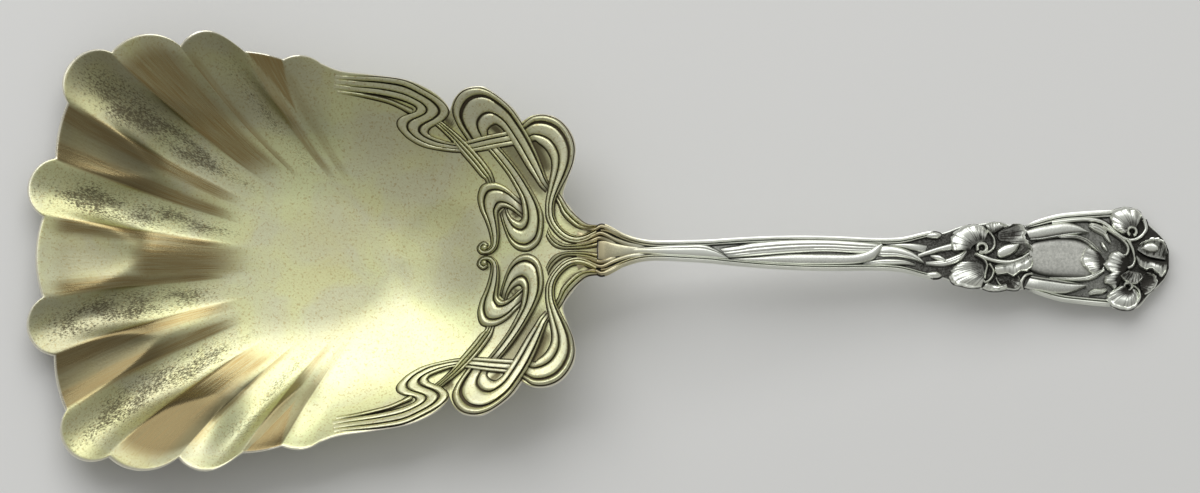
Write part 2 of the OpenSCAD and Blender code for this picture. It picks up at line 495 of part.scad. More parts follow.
bowl();
solder_seam();
handle();
neck_leaf();
long_leaf();
curled_leaf();
bud_leaf();
iris_stem();
left_fall();
right_fall();
left_standard();
right_standard();
lower_bud();
long_sepal();
right_low_petal();
cartouche();
left_blade();
right_blade();
strap_leaf();
terminal_bud();
terminal_left_fall();
terminal_right_fall();
front_petal();
centre_petal();
end_standard();
end_low_petal();
for (s = sides) {
    rim_ribbon(s[1]);
    straight_band(s[1]);
    top_loop(s[1]);
    side_loop(s[1]);
    hairpin(s[1]);
    swan_curl(s[1]);
    neck_wire(s[1]);
    axis_wire(s[1]);
    edge_moulding(s[1]);
    terminal_reed(s[1]);
}
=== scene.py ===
import math

import bmesh
import bpy
import numpy as np
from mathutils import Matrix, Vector


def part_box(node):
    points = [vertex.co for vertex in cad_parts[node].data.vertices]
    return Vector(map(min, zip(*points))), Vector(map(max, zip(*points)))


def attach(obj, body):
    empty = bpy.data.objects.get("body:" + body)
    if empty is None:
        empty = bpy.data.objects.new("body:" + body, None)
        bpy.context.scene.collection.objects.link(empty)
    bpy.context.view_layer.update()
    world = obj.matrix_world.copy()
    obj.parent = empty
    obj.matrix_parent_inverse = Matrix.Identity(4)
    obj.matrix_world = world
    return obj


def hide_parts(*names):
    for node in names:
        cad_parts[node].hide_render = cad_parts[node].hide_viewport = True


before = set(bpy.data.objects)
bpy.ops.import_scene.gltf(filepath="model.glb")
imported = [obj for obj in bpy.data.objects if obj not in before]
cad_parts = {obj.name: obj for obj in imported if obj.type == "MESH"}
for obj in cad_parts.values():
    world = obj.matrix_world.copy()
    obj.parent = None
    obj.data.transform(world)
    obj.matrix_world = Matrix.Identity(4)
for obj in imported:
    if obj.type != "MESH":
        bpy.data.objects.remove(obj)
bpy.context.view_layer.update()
bpy.context.scene.view_settings.view_transform = "Standard"

# Bowl
# One sheet of silver, struck between dies into a scalloped dish and gilt all over. Deep round
# channels and raised ridges take turns along its rim and run in to a plain centre.
MM = 0.001
tip_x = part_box("bowl")[0].x
bowl_length = (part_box("bowl")[1].x - tip_x) / MM
bowl_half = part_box("bowl")[1].y / MM
bowl_depth = 14.0
bowl_wall = 1.1
neck_thickness = 2.4
neck_run = 16.0
lip_height = 4.5
lip_run = (6.0, 38.0)
shoulder_half = 36.5
shoulder_run = (36.0, 92.0)
dish_middle = 54.6
base_share = 15.0 / dish_middle
squareness = 3.0
wall_power = 2.0
wall_belly = 0.3
# Cusps of half the rim: x from the tip, y, rise of the lobe that follows, strength of the crest.
# The first lobe lies across the tip and is a ridge; channels and ridges then alternate.
cusps = [
    (3, -8.2, 1.4, 1), (3, 8.2, 4.29, 1), (5.4, 20, 0.6, 1), (7.8, 31.2, 5, 1), (16.6, 41, 2.8, 1),
    (30.6, 41.6, 3.4, 0.9), (43.4, 40.6, 0.3, 0.7), (51.2, 39.1, 1.1, 0.4), (58.6, 38.4, 0, 0)]
# Lobes with a shape or wear of their own, counted from the tip. The leaning one leans to the tip.
corner_lobe, broad_lobe, leaning_lobe, wedge_lobe, last_lobe = 2, 4, 5, 6, 7
lean_power, lean_rise = 0.8, 0.97
shoulder_edge = [
    (58.6, 38.4), (62.6, 36.9), (68.6, 36.1), (76, 34.9), (80.9, 32.8), (83.6, 30.6), (84.6, 28.9)]
top_loop_edge = [
    (84.6, 28.9), (85.5, 31.2), (87.3, 32.8), (89.8, 33.3), (92.2, 32.8), (96.9, 29.3), (99.1, 26.3)]
side_loop_edge = [
    (99.1, 26.3), (101, 27.4), (103.3, 27.6), (105.7, 27), (107.8, 25.3), (109.3, 23), (109.8, 20.4),
    (109.4, 17.8), (108.5, 15.3), (107.3, 11.3), (108.8, 8.7), (110.6, 6.4), (112, 5.25), (113, 4.8),
    (114.2, 4.75)]
lobe_steps = 20
edge_steps = 5
gather = np.array((76.6, 0.0))
front_aim = np.array((54.6, 0.0))
aim_pull = 0.6
bowl_rings = 60
crest_height = 2.6
flute_start = 0.42
late_start = 0.3
flute_peak = 0.8
ridge_end = 0.68
ridge_taper = 4
rim_share = 0.55
channel_power = 1.8
ridge_dip = 0.22


def ease(t):
    """0 up to 0, 1 from 1 on, and smooth in between."""
    c = min(1.0, max(0.0, t))
    return c * c * (3 - 2 * c)


def ramp(t, start, end):
    """Eases from 0 at start to 1 at end."""
    return ease((t - start) / (end - start))


def smooth_rows(rows, steps):
    """A smooth curve through rows of numbers, with that many steps between two rows."""
    rows = np.array(rows, float)
    last = len(rows) - 1
    path = []
    for i in range(last):
        a, b, c, d = rows[max(i - 1, 0)], rows[i], rows[i + 1], rows[min(i + 2, last)]
        for j in range(steps):
            t = j / steps
            path.append(0.5 * (2 * b + (c - a) * t + (2 * a - 5 * b + 4 * c - d) * t ** 2
                               + (3 * b - a - 3 * c + d) * t ** 3))
    path.append(rows[last])
    return np.array(path)


def dish_z(x, y):
    """Height of the plain dish in millimetres: low at the tip, level at the neck, rubbed flat below."""
    reach = dish_middle if x < dish_middle else bowl_length - dish_middle
    half = bowl_half + (shoulder_half - bowl_half) * ramp(x, *shoulder_run)
    along = (abs(x - dish_middle) / reach) ** squareness
    across = (abs(y) / half) ** squareness
    distance = (along + across) ** (1 / squareness)
    climb = max(0.0, distance - base_share) / (1 - base_share)
    wall = climb ** wall_power + (distance ** 2 - climb ** wall_power) * wall_belly
    back = along / (along + across) if x > dish_middle else 0.0
    depth = lip_height + (bowl_depth - lip_height) * ramp(x, *lip_run)
    floor_z = bowl_wall - bowl_depth * wall_belly * base_share ** 2
    return floor_z + depth * (wall + (ease(climb) - wall) * back)


def sheet(x):
    """Thickness of the bowl's sheet, which grows towards the neck."""
    return bowl_wall + (neck_thickness - bowl_wall) * ramp(x, bowl_length - neck_run, bowl_length)


def lobe_point(number, s):
    """A point of the rim, at a share of the way along the arc of that lobe."""
    rise = cusps[number][2]
    a, b = np.array(cusps[number][:2]), np.array(cusps[number + 1][:2])
    chord = np.linalg.norm(b - a)
    along = (b - a) / chord
    out = np.array((-along[1], along[0]))
    if number == leaning_lobe:
        return a + (b - a) * s + out * lean_rise * rise * math.sin(math.pi * s ** lean_power)
    radius = (chord ** 2 / 4 + rise ** 2) / (2 * rise)
    half_turn = math.asin(min(1.0, chord / 2 / radius))
    if rise > chord / 2:
        half_turn = math.pi - half_turn
    turn = half_turn * (2 * s - 1)
    return (a + b) / 2 + along * radius * math.sin(turn) + out * (radius * math.cos(turn) - radius + rise)


def flute(place, t, start):
    """Share of the crest's height: place runs from 0 in a channel to 1 at its cusp and 2 on a ridge."""
    crest = 1 + min(1.0, (1 - t) / (1 - ridge_end)) ** ridge_taper
    if place < crest:
        share = math.sin(math.pi / 2 * (place / crest) ** channel_power)
    else:
        share = 1 - ridge_dip * (2 - crest) * (1 - ((2 - place) / max(2 - crest, 1e-3)) ** 2)
    return share * ramp(t, start, flute_peak) * (1 - (1 - rim_share) * ramp(t, flute_peak, 1))


def second_side(mesh):
    """Gives a sheet another side, joined to it all round, and returns the vertices of that side."""
    made = bmesh.ops.extrude_face_region(mesh, geom=mesh.faces[:])["geom"]
    return [v for v in made if isinstance(v, bmesh.types.BMVert)]


def placed(mesh, start_x):
    """The same mesh in metres, with its zero at that place along the spoon."""
    bmesh.ops.scale(mesh, vec=(MM, MM, MM), verts=mesh.verts[:])
    bmesh.ops.translate(mesh, vec=(start_x, 0, 0), verts=mesh.verts[:])
    return mesh


# Tarnish in the channels and painted shade of the lobes, one by one from the tip, with the upper and lower
# lobes apart. The last painted shade is that of the shoulder.
soil_of_lobes = (0, 1.0, 0, 1.0, 0, 0.55, 0, 0)
upper_painted_shade = (0.05, 0.2, 0.88, 0.66, 0.55, 0.5, 0.4, 0.35, 0.12)
lower_painted_shade = (0.05, 0.45, 0.92, 0.25, 1.0, 0.1, 0.8, 0, 0)
# Painted shadow on the ground before and between the ribbons: x, y, direction in degrees, half length, half
# width and darkness of the shadow
ground_shadows = [
    (83, 0, 0, 9, 11, 0.2), (99, 17.6, -55, 7.5, 1.5, 0.7), (102.7, 19.4, -64, 3.6, 1.2, 1),
    (93.9, 24.9, -30, 1.3, 0.9, 1), (109, 6.2, -45, 2.4, 1.2, 0.6), (84.4, 26.6, -50, 1.2, 0.7, 0.9),
    (97.6, 8, -50, 1.2, 0.5, 1)]
# Each rim point: x, y, place across its flute, strength of its crests, share of tarnish, how far in the
# brown wedge beside the shoulder reaches, painted shade beyond the tip's tongue, brown tone and painted
# shade on the flanks of the ridges, and the number of its lobe for the painted shade, which grows to the
# shoulder's along the last lobe
rim_half = []
for number, (a, b) in enumerate(zip(cusps, cusps[1:])):
    for j in range(lobe_steps // 2 if number == 0 else 0, lobe_steps):
        s = j / lobe_steps
        side_share = abs(2 * s - 1)
        place = 1 - s if number == last_lobe else side_share if number % 2 else 2 - side_share
        strength = a[3] + (b[3] - a[3]) * ease(s)
        soiled = (1 - side_share) * soil_of_lobes[number]
        wedge = 1 - side_share if number == wedge_lobe else 0
        tongue = 1 - side_share ** 4 if number == 0 else 0
        fade = s - 0.5 if number == broad_lobe else place - (1.5 if number else 1.2)
        flank = ramp(place, 0.75, 1.0) * (1 - 0.7 * ramp(fade, 0, 0.3))
        shade_lobe = number + ease(s) if number == last_lobe else number
        rim_half.append((*lobe_point(number, s), place, strength, soiled, wedge, tongue, flank, shade_lobe))
plain_edge = (0, 0, 0, 0, 0, 0, last_lobe + 1)
for edge in (shoulder_edge, top_loop_edge, side_loop_edge):
    rim_half += [(*p, *plain_edge) for p in smooth_rows(edge, edge_steps)[:-1]]
rim_half.append((*side_loop_edge[-1], *plain_edge))
rim = rim_half + [(x, -y, *rest) for x, y, *rest in rim_half[:0:-1]]
half_steps = np.diff(np.array([p[:2] for p in rim_half]), axis=0)
half_lanes = [0.0, *np.cumsum(np.linalg.norm(half_steps, axis=1))]
lanes = half_lanes + [-lane for lane in half_lanes[:0:-1]]
# The last rings lie close together and round the edge of the sheet: place and drop of each. The
# underside comes up to meet them by a share of the drop.
round_edge = [(0.985, 0.0), (0.992, 0.05), (0.997, 0.2), (1.0, 0.45)]
underside_rise = 0.7
plain_rings = bowl_rings + 1 - len(round_edge)
rings = [(round_edge[0][0] * i / plain_rings, 0.0) for i in range(plain_rings)] + round_edge

mesh = bmesh.new()
columns = len(rim)
bmesh.ops.create_grid(mesh, x_segments=columns, y_segments=bowl_rings, size=0.5)
layer_names = ("tarnish", "toning_and_shade", "lane", "reach", "painted_shade", "dropped")
tarnish, toning_and_shade, lane, reach, painted_shade, dropped = [mesh.verts.layers.float.new(name) for name in layer_names]
flute_length = 65.0
# t runs along each flute, from 0 where they gather to 1 at the rim. The ramps of tarnish and painted shade
# start and end at such shares of the way.
for vert in mesh.verts:
    column = round((vert.co.x + 0.5) * columns) % columns
    ring = round((vert.co.y + 0.5) * bowl_rings)
    edge_x, edge_y, place, strength, soiled, wedge, tongue, flank, number = rim[column]
    t, drop = rings[ring]
    edge_point = np.array((edge_x, edge_y))
    aim = front_aim + (gather - front_aim) * ease(edge_x / gather[0])
    bend = edge_point + (aim - edge_point) * aim_pull
    x, y = gather * (1 - t) ** 2 + bend * 2 * t * (1 - t) + edge_point * t ** 2
    crest = crest_height * strength * flute(place, t, flute_start + late_start * (1 - strength))
    vert.co = (x, y, dish_z(x, y) + crest - drop)
    vert[tarnish] = soiled * ramp(t, 0.3, 0.6) * (1 - 0.6 * ramp(t, 0.8, 1.0))
    # Painted shade on the steep end beyond the tip's tongue
    tongue_end_shade = tongue * ramp(t, 0.34, 0.54) * ramp(t, 0.76, 0.66)
    # Painted shade over the lobes and the ridges' flanks, lessened near the rim of most lobes
    unshaded_end = 0 if number == corner_lobe else ramp(t, 0.91, 0.98)
    shade_of_lobes = upper_painted_shade if y > 0 else lower_painted_shade
    lobe_shade = np.interp(number, range(len(shade_of_lobes)), shade_of_lobes) * ramp(t, 0.5, 0.75)
    lobe_shade *= 1 - 0.6 * unshaded_end if number == broad_lobe else 1
    flank *= strength * ramp(t, flute_start, flute_start + 0.12) * (1 - 0.75 * unshaded_end)
    vert[painted_shade] = max(lobe_shade, (0.35 if number else 0.65) * flank, 0.6 * tongue_end_shade)
    # Painted shadow on the ground between the ribbons
    for ground_x, ground_y, turn, half_length, half_breadth, shade in ground_shadows:
        aim_x, aim_y = math.cos(math.radians(turn)), math.sin(math.radians(turn))
        along = ((x - ground_x) * aim_x + (abs(y) - ground_y) * aim_y) / half_length
        across = ((x - ground_x) * aim_y - (abs(y) - ground_y) * aim_x) / half_breadth
        vert[painted_shade] = max(vert[painted_shade], shade * ease(3 - 2.4 * math.hypot(along, across)))
    browned_wedge = min(1.0, 5 * wedge) * ramp(t + 0.24 * wedge, 0.98, 1.04)
    # Brown tone on the flanks and the wedge, with painted shade beyond the tongue
    vert[toning_and_shade] = max(0.9 * tongue_end_shade, 0.85 * flank, browned_wedge)
    vert[lane], vert[reach], vert[dropped] = lanes[column], flute_length * t, drop
bmesh.ops.remove_doubles(mesh, verts=mesh.verts[:], dist=1e-4)
bmesh.ops.recalc_face_normals(mesh, faces=mesh.faces[:])
for vert in second_side(mesh):
    vert.co.z = max(0.0, vert.co.z + (1 + underside_rise) * vert[dropped] - sheet(vert.co.x))
placed(mesh, tip_x)
bmesh.ops.recalc_face_normals(mesh, faces=mesh.faces[:])


def in_scene(name, data):
    """A new object in the scene, which holds that mesh, light or camera."""
    made = bpy.data.objects.new(name, data)
    bpy.context.scene.collection.objects.link(made)
    return made


def piece(name, mesh, material, slot, *nodes):
    """Makes a finished piece from a mesh: it rides with the spoon and stands for those nodes."""
    for face in mesh.faces:
        face.smooth = True
    data = bpy.data.meshes.new(name)
    mesh.to_mesh(data)
    mesh.free()
    data.set_sharp_from_angle(angle=math.radians(50))
    made = in_scene(name, data)
    data.materials.append(material)
    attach(made, "root")
    if nodes:
        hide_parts(*nodes)


class Value:
    """A socket's value in a material. Arithmetic on it adds Math nodes."""

    def __init__(self, tree, socket=None):
        self.tree = tree
        self.socket = socket

    def node(self, kind, inputs=None, output=0, **settings):
        """Adds any other node: its type, the values or links of its sockets, and its settings."""
        made = self.tree.nodes.new("ShaderNode" + kind)
        for name, setting in settings.items():
            setattr(made, name, setting)
        for name, value in (inputs or {}).items():
            if isinstance(value, Value):
                self.tree.links.new(value.socket, made.inputs[name])
            else:
                made.inputs[name].default_value = value
        return Value(self.tree, made.outputs[output] if made.outputs else None)

    def math(self, operation, other):
        return self.node("Math", {0: self, 1: other}, operation=operation)

    def attribute(self, name):
        """A number that the mesh holds at each of its points."""
        return self.node("Attribute", output=2, attribute_name=name)

    def noise(self, place, scale, detail, **more):
        return self.node("TexNoise", {"Vector": place, "Scale": scale, "Detail": detail, **more})

    def between(self, low, high):
        """0 below low, 1 above high and even in between."""
        return self.node("MapRange", {"Value": self, "From Min": low, "From Max": high}, clamp=True)

    def tint(self, plain, tinted):
        """A colour that goes from plain to tinted as this value goes from 0 to 1."""
        return self.node("Mix", {0: self, 6: plain, 7: tinted}, output=2, data_type="RGBA")

    def __add__(self, other):
        return self.math("ADD", other)

    def __sub__(self, other):
        return self.math("SUBTRACT", other)

    def __mul__(self, other):
        return self.math("MULTIPLY", other)

    __radd__ = __add__
    __rmul__ = __mul__


def blank_material(name):
    material = bpy.data.materials.new(name)
    material.use_nodes = True
    material.node_tree.nodes.clear()
    return material, Value(material.node_tree)


def bare_metal(value, colour, rough, dents, strength, depth):
    """Ends a material as metal of that colour and roughness, with dents in its skin."""
    bump = value.node("Bump", {"Strength": strength, "Distance": depth, "Height": dents})
    shader = value.node("BsdfPrincipled", {
        "Base Color": colour, "Roughness": rough, "Metallic": 1.0, "Normal": bump})
    value.node("OutputMaterial", {"Surface": shader})


def gilt_metal(name, worn):
    """Worn pale gilding: brown tone and painted shade on the ridges, black spots in the channels, painted
    shade on the lobes, ground and grooves, a painted highlight on the lip, fine scratches.
    """
    pale_gold, warm_gold, grey_gold = (0.69, 0.72, 0.41, 1), (0.66, 0.645, 0.35, 1), (0.60, 0.60, 0.46, 1)
    brown, fleck = (0.45, 0.38, 0.19, 1), (0.40, 0.285, 0.11, 1)
    # Colours of the painted shade on the lobes and the ground by the ribbons
    shaded_gold, shaded_brown = (0.135, 0.12, 0.065, 1), (0.15, 0.115, 0.055, 1)
    # Black for the tarnish spots and the painted shade in the grooves; the lip's pale colour is a painted
    # highlight
    black, lip_highlight = (0.08, 0.065, 0.04, 1), (0.90, 0.87, 0.74, 1)
    material, value = blank_material(name)
    place = value.node("TexCoord", output=3)
    recess = value.attribute("recess")
    soiled, toning_and_shade, lane, reach, painted_shade, dropped = [value.attribute(name) for name in layer_names]
    # The rounded lip, which takes the painted highlight
    lip = dropped.between(0.03, 0.2)
    on_flute = value.node("CombineXYZ", {"X": lane, "Y": reach * 0.65})
    down_flute = value.node("CombineXYZ", {"X": lane, "Y": reach * 0.06})
    cloud = value.noise(place, 45, 4)
    stain = value.noise(place, 90, 5, Distortion=0.6)
    grain = value.noise(place, 1500, 6, Roughness=0.75)
    dots = value.noise(place, 2300, 2, Distortion=0.3)
    clusters = value.noise(on_flute, 0.22, 3)
    blots = value.noise(on_flute, 2.6, 5, Roughness=0.7)
    streaks = value.noise(down_flute, 2.2, 4)
    near_neck = value.node("SeparateXYZ", {"Vector": place}).between(tip_x + 0.1085, tip_x + 0.1142)
    soil = soiled.between(0.1, 0.75) * (0.35 + 0.65 * clusters.between(0.35, 0.6))
    specks = (0.2 * soil + 0.8 * blots + 0.2 * grain).between(0.58, 0.71) * soiled.between(0.02, 0.3)
    # Brown tone on the ridges and near the neck, with painted shade beyond the tip's tongue
    brown_and_shade = (toning_and_shade * (0.45 + 0.9 * streaks) + 0.5 * near_neck).between(0.12, 0.85)
    plain = cloud.between(0.35, 0.65).tint(pale_gold, warm_gold)
    stained = (worn + (0.55 - 0.4 * worn) * stain.between(0.42, 0.62)).tint(plain, grey_gold)
    grained = (0.5 * dots.between(0.56, 0.68) + 0.25 * grain.between(0.5, 0.7)).tint(stained, fleck)
    toned = brown_and_shade.tint(grained, streaks.between(0.35, 0.7).tint(brown, fleck))
    # Painted shade of the lobes, flanks and ground darkens the gilding
    shade_level = (painted_shade * (0.95 + 0.1 * streaks)).between(0.0, 1.0)
    shade_painted = shade_level.tint(toned, brown_and_shade.tint(shaded_gold, shaded_brown))
    spotted = (0.8 * specks).tint(shade_painted, black)
    # Painted shade blackens the grooves, the lines beside the strands and their sunk ends; the rounded lip
    # takes the painted highlight
    colour = lip.tint(recess.between(0.15, 0.85).tint(spotted, black), lip_highlight)
    scratches = value.node("TexWave", {
        "Vector": place, "Scale": 700, "Distortion": 30, "Detail": 3, "Detail Scale": 0.4},
        wave_type="BANDS", bands_direction="DIAGONAL")
    rough = 0.34 + 0.12 * grain + 0.25 * specks + 0.15 * recess - 0.15 * brown_and_shade
    bare_metal(value, colour, rough, grain * 0.6 + scratches * 0.15 + streaks * toning_and_shade, 0.12, 0.0002)
    return material


piece("bowl_dish", mesh, gilt_metal("gilt", 0.0), "gilt", "bowl")

# Shoulder ribbons
# Gilt reeded bands on both shoulders of the bowl, in the same silver as the dish. Each is a bundle
# of round reeds with dark grooves between them, and they pass over and under each other.
ribbon_gilt = gilt_metal("ribbon_gilt", 0.4)
ribbon_height = 1.05
ribbon_sink = 0.25
# Height of the grooves between reeds, and how far the middle of a flat reed is hollowed
groove_floor = 0.1
flat_hollow = 0.16
reed_samples = 8
# The painted shade line beside each strand or leaf has a fixed width, except on the narrowest, and this row
# in its section. Where a strand sinks away, painted shade darkens it too.
outline_width, narrowest = 0.22, 0.4
sunk_shade = 0.9
outline = (None, 0.02, 1.0)


def reeded(*reeds, outside=1.0, shadow=0.75):
    """Section of a strand of reeds, given by start and end across it, height, and flatness of the top.

    Its rows are share of the width, share of the height and share of painted shade."""
    rows = [(*outline[:2], outside)]
    for start, end, height, flatness in reeds:
        for j in range(reed_samples + 1):
            turn = -math.cos(math.pi * j / reed_samples)
            crown = (1 - abs(turn) ** flatness) ** 0.5
            hollow = flat_hollow * (1 - turn ** 2) if flatness > 2 else 0
            share = groove_floor + (height - groove_floor) * crown * (1 - hollow)
            dark = outside if start == 0 and turn < 0 else 1.0
            across = start + (end - start) * (turn + 1) / 2
            rows.append((across, share, dark * max(0.0, 1 - crown / shadow)))
    rows.append(outline)
    return lambda along: rows


def relief(rows, section, height, seat, side=1, steps=8, sink=ribbon_sink):
    """Strand or leaf between two edges: rows of edge point, other edge point, lift and painted shade on a
    seat.
    """
    path = smooth_rows([(*row, 1.0, 1.0)[:6] for row in rows], steps)
    mesh = bmesh.new()
    last_step, last_share = len(path) - 1, len(section(0)) - 1
    sections = [section(step / last_step) for step in range(last_step + 1)]
    bmesh.ops.create_grid(mesh, x_segments=last_step, y_segments=last_share, size=0.5)
    recess = mesh.verts.layers.float.new("recess")
    for vert in mesh.verts:
        step, number = round((vert.co.x + 0.5) * last_step), round((vert.co.y + 0.5) * last_share)
        ax, ay, bx, by, lift, shade = path[step]
        share, raised, dark = sections[step][number]
        if share is None:
            margin = outline_width / max(narrowest, math.hypot(bx - ax, by - ay))
            share = -margin if number == 0 else 1 + margin
        x, y = ax + (bx - ax) * share, ay + (by - ay) * share
        vert.co = (x, y * side, seat(x, y) + height * raised * lift)
        # Painted shade from the section, and more where the strand sinks away
        vert[recess] = shade * max(dark, sunk_shade * (1 - min(1.0, lift)))
    for vert in second_side(mesh):
        vert.co.z = seat(vert.co.x, vert.co.y * side) - sink
    bmesh.ops.recalc_face_normals(mesh, faces=mesh.faces[:])
    return mesh


broad_band = reeded((0.0, 0.26, 1.0, 3), (0.31, 0.66, 0.85, 4), (0.69, 1.0, 0.9, 3))
open_loop = reeded((0.0, 0.19, 1.0, 2), (0.25, 0.66, 0.85, 4), (0.69, 1.0, 0.95, 3))
loop_band = reeded((0.0, 0.2, 1.0, 2), (0.24, 0.7, 0.85, 5), (0.74, 1.0, 0.9, 2))
triple_reed = reeded((0.0, 0.33, 0.9, 2), (0.35, 0.66, 1.0, 2), (0.68, 1.0, 0.85, 2), shadow=0.5)
twin_reed = reeded((0.0, 0.48, 1.0, 2), (0.52, 1.0, 0.9, 2), shadow=0.45)
single_wire = reeded((0.0, 1.0, 0.9, 2))
ribbons = {
    "rim_ribbon": (broad_band, [
        (61.6, 35.9, 61.2, 33.6, 0.02, 0), (65.5, 35.7, 64.8, 33, 0.5, 0.5), (70.9, 35.3, 70.4, 32.2),
        (75.6, 34.5, 74.6, 31.2), (79.6, 32.6, 76.9, 30.3), (82.6, 30.8, 77.8, 29.7),
        (84.1, 29.2, 77.9, 29.2), (84.2, 28.1, 77.4, 28.7), (83.2, 27, 76.2, 28.4), (81.6, 26.2, 74.9, 28),
        (80.5, 25.6, 74.1, 27.3), (80.1, 24.9, 74.1, 26.2), (80.5, 24.3, 75, 25), (81.5, 23.8, 76.6, 23.6),
        (83.2, 23.2, 79.6, 22.1), (85, 22.7, 84, 21.2, 0.95), (86.4, 22.6, 87.6, 20.8, 0.3),
        (88.2, 23, 89.9, 20.8, 0.8), (91.6, 23.7, 93.4, 21.2, 0.9), (94.8, 24.2, 96.6, 21.6, 0.85),
        (96.4, 24.5, 98.4, 21.9, 0.1)]),
    "straight_band": (triple_reed, [
        (82.2, 27.4, 81.2, 26.6, 0.3), (83.7, 26.2, 82.7, 25.4), (86.1, 24.2, 84.9, 23.2),
        (88.5, 22, 86.9, 20.7), (90.8, 19.4, 89.2, 18), (92.6, 16.9, 90.8, 16),
        (93.2, 15.5, 91.7, 15.2, 0.8), (93.6, 14.2, 92.2, 13.8, 0.1)]),
    "top_loop": (open_loop, [
        (88.7, 22.4, 92.2, 23.6, 0.2), (87.7, 23.8, 92, 24.5, 0.9), (86.1, 26.2, 92.1, 24.9),
        (85.2, 28.6, 92.4, 25.3), (85.9, 30.9, 92.8, 25.6), (87.6, 32.4, 93.2, 25.8),
        (90.2, 32.8, 93.7, 25.9), (93, 31.8, 94.2, 25.7), (96.2, 29.3, 95.1, 25), (98.3, 26.6, 96.2, 23.5),
        (100.2, 23.6, 97.9, 20.8), (102, 19.9, 99.9, 17.4), (103.2, 16.7, 101.5, 15),
        (103.8, 14.9, 102.6, 13.3, 0.85), (104.6, 13.4, 103.8, 12, 0.1)]),
    "side_loop": (open_loop, [
        (98.4, 24.9, 100.6, 21.9, 0.1), (99.8, 26, 101.6, 22.3, 0.8), (101.4, 27, 102.3, 21.8),
        (103.8, 27.1, 103.1, 21.2), (106.3, 26.1, 103.8, 20.5), (108.2, 24, 104.4, 19.6),
        (109.3, 21.1, 104.9, 18.4), (109.1, 18, 105, 16.8), (108.1, 15.3, 104.7, 14.8),
        (106.8, 12.8, 104.3, 12.6), (105.8, 10.6, 103.9, 10.4), (105.4, 8.7, 103.8, 8.6),
        (105.6, 6.7, 104, 6.6), (106.5, 5, 105.1, 4.4), (108.1, 3.5, 107.2, 2.3), (109.8, 2.9, 109.6, 1.5),
        (111.6, 3.2, 111.9, 1.9), (113.8, 4.2, 113.9, 3)]),
    "hairpin": (loop_band, [
        (93.9, 22, 91.6, 21.8, 0.1), (95.2, 20.6, 92.9, 20.3, 0.8), (97, 18.4, 94.4, 18.4),
        (98.8, 15.9, 96, 16.2), (100.5, 13.2, 97.3, 14), (102.1, 10.2, 98.7, 11.2), (103.1, 7.4, 99.1, 9),
        (103.1, 4.4, 99.2, 7.5), (102.3, 1.8, 98.9, 6.7), (100.4, 0.4, 98.5, 6.4), (98.3, 0.7, 98, 6.5),
        (96.7, 2.2, 97.3, 6.9), (95.7, 4.4, 96.7, 7.5), (95, 6.8, 96.2, 8.3, 0.8),
        (94.6, 8.4, 95.8, 9.7, 0.1)]),
    "swan_curl": (loop_band, [
        (92.2, 2.2, 91.6, 1.8), (91.2, 2.8, 91.2, 2.1), (90.1, 1.7, 90.8, 1.6), (90.8, 0.4, 91.1, 1.1),
        (92.5, 0.3, 92.1, 1.1), (93.8, 1.3, 92.8, 1.9), (94.3, 3.2, 92.8, 3.3), (94.3, 5.4, 92.3, 5.4),
        (94.1, 7.3, 91.6, 7.3), (94.1, 8.5, 90.7, 9.3), (94.5, 9.1, 90.2, 11.6), (95, 9.4, 90.7, 13.7),
        (95.5, 9.4, 92, 14.5), (96.2, 9.2, 93.8, 14.4), (97.2, 8.6, 95.8, 13.4),
        (98.2, 7.8, 97.4, 11.9, 0.8), (99.3, 6.9, 98.7, 10.8, 0.1)]),
    "neck_wire": (twin_reed, [
        (106, 12.2, 105.3, 11, 0.1), (107, 10.6, 106.3, 9.4, 0.8), (108.4, 8.3, 107.2, 7.3),
        (110.7, 6, 109.5, 5), (112.2, 5.1, 111.5, 4.2), (114, 4.9, 113.6, 4.3)]),
    "axis_wire": (twin_reed, [
        (104.2, 4.8, 103.8, 3.4, 0.6), (104.9, 3.3, 104.4, 2.2), (106.2, 2, 105.5, 1),
        (107.8, 1.2, 107, 0.4), (109.6, 1.2, 109.4, 0.3), (111.8, 1.5, 111.8, 0.4), (114, 2.4, 114, 0.7)]),
    "rim_stem": (single_wire, [
        (62, 33.1, 62, 32.7, 0.02, 0), (65.5, 32.75, 65.4, 32.25, 0.5, 0.5), (69.5, 32, 69.3, 31.4),
        (72.6, 31.2, 72.3, 30.6), (75, 30.2, 74.6, 29.6), (76.6, 29.5, 76.2, 28.7, 1.2),
        (77.2, 29.1, 76.9, 28.5)]),
    "curl_ball": (single_wire, [
        (90.8, 1.7, 90.8, 1.4, 0.8), (91, 2, 91, 1.1, 1.4), (91.4, 2.15, 91.4, 0.95, 1.6),
        (91.8, 2, 91.8, 1.1, 1.4), (92, 1.7, 92, 1.4, 0.8)]),
}
extra_strands = ("rim_stem", "curl_ball")
for side_name, side in (("left", 1), ("right", -1)):
    for name, (section, rows) in ribbons.items():
        ribbon = relief(rows, section, ribbon_height, dish_z, side)
        stands_for = [] if name in extra_strands else [f"{side_name}_{name}"]
        piece(f"{side_name}_{name}_reeds", placed(ribbon, tip_x), ribbon_gilt, "gilt", *stands_for)

# Solder seam
# A bead of brown solder that joins the end of the bowl's neck to the end of the handle. It fills
# the joint all round, and the gilding stops at it.
handle_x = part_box("handle")[0].x
handle_length = (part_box("handle")[1].x - handle_x) / MM
neck_z = dish_z(bowl_length, 0)
seam_start = (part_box("solder_seam")[0].x - handle_x) / MM
seam_end = (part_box("solder_seam")[1].x - handle_x) / MM
shank_thickness, end_thickness = 3.0, 2.0
bend_length = 14.0
handle_fall = (neck_z - end_thickness) / (handle_length - bend_length / 2)
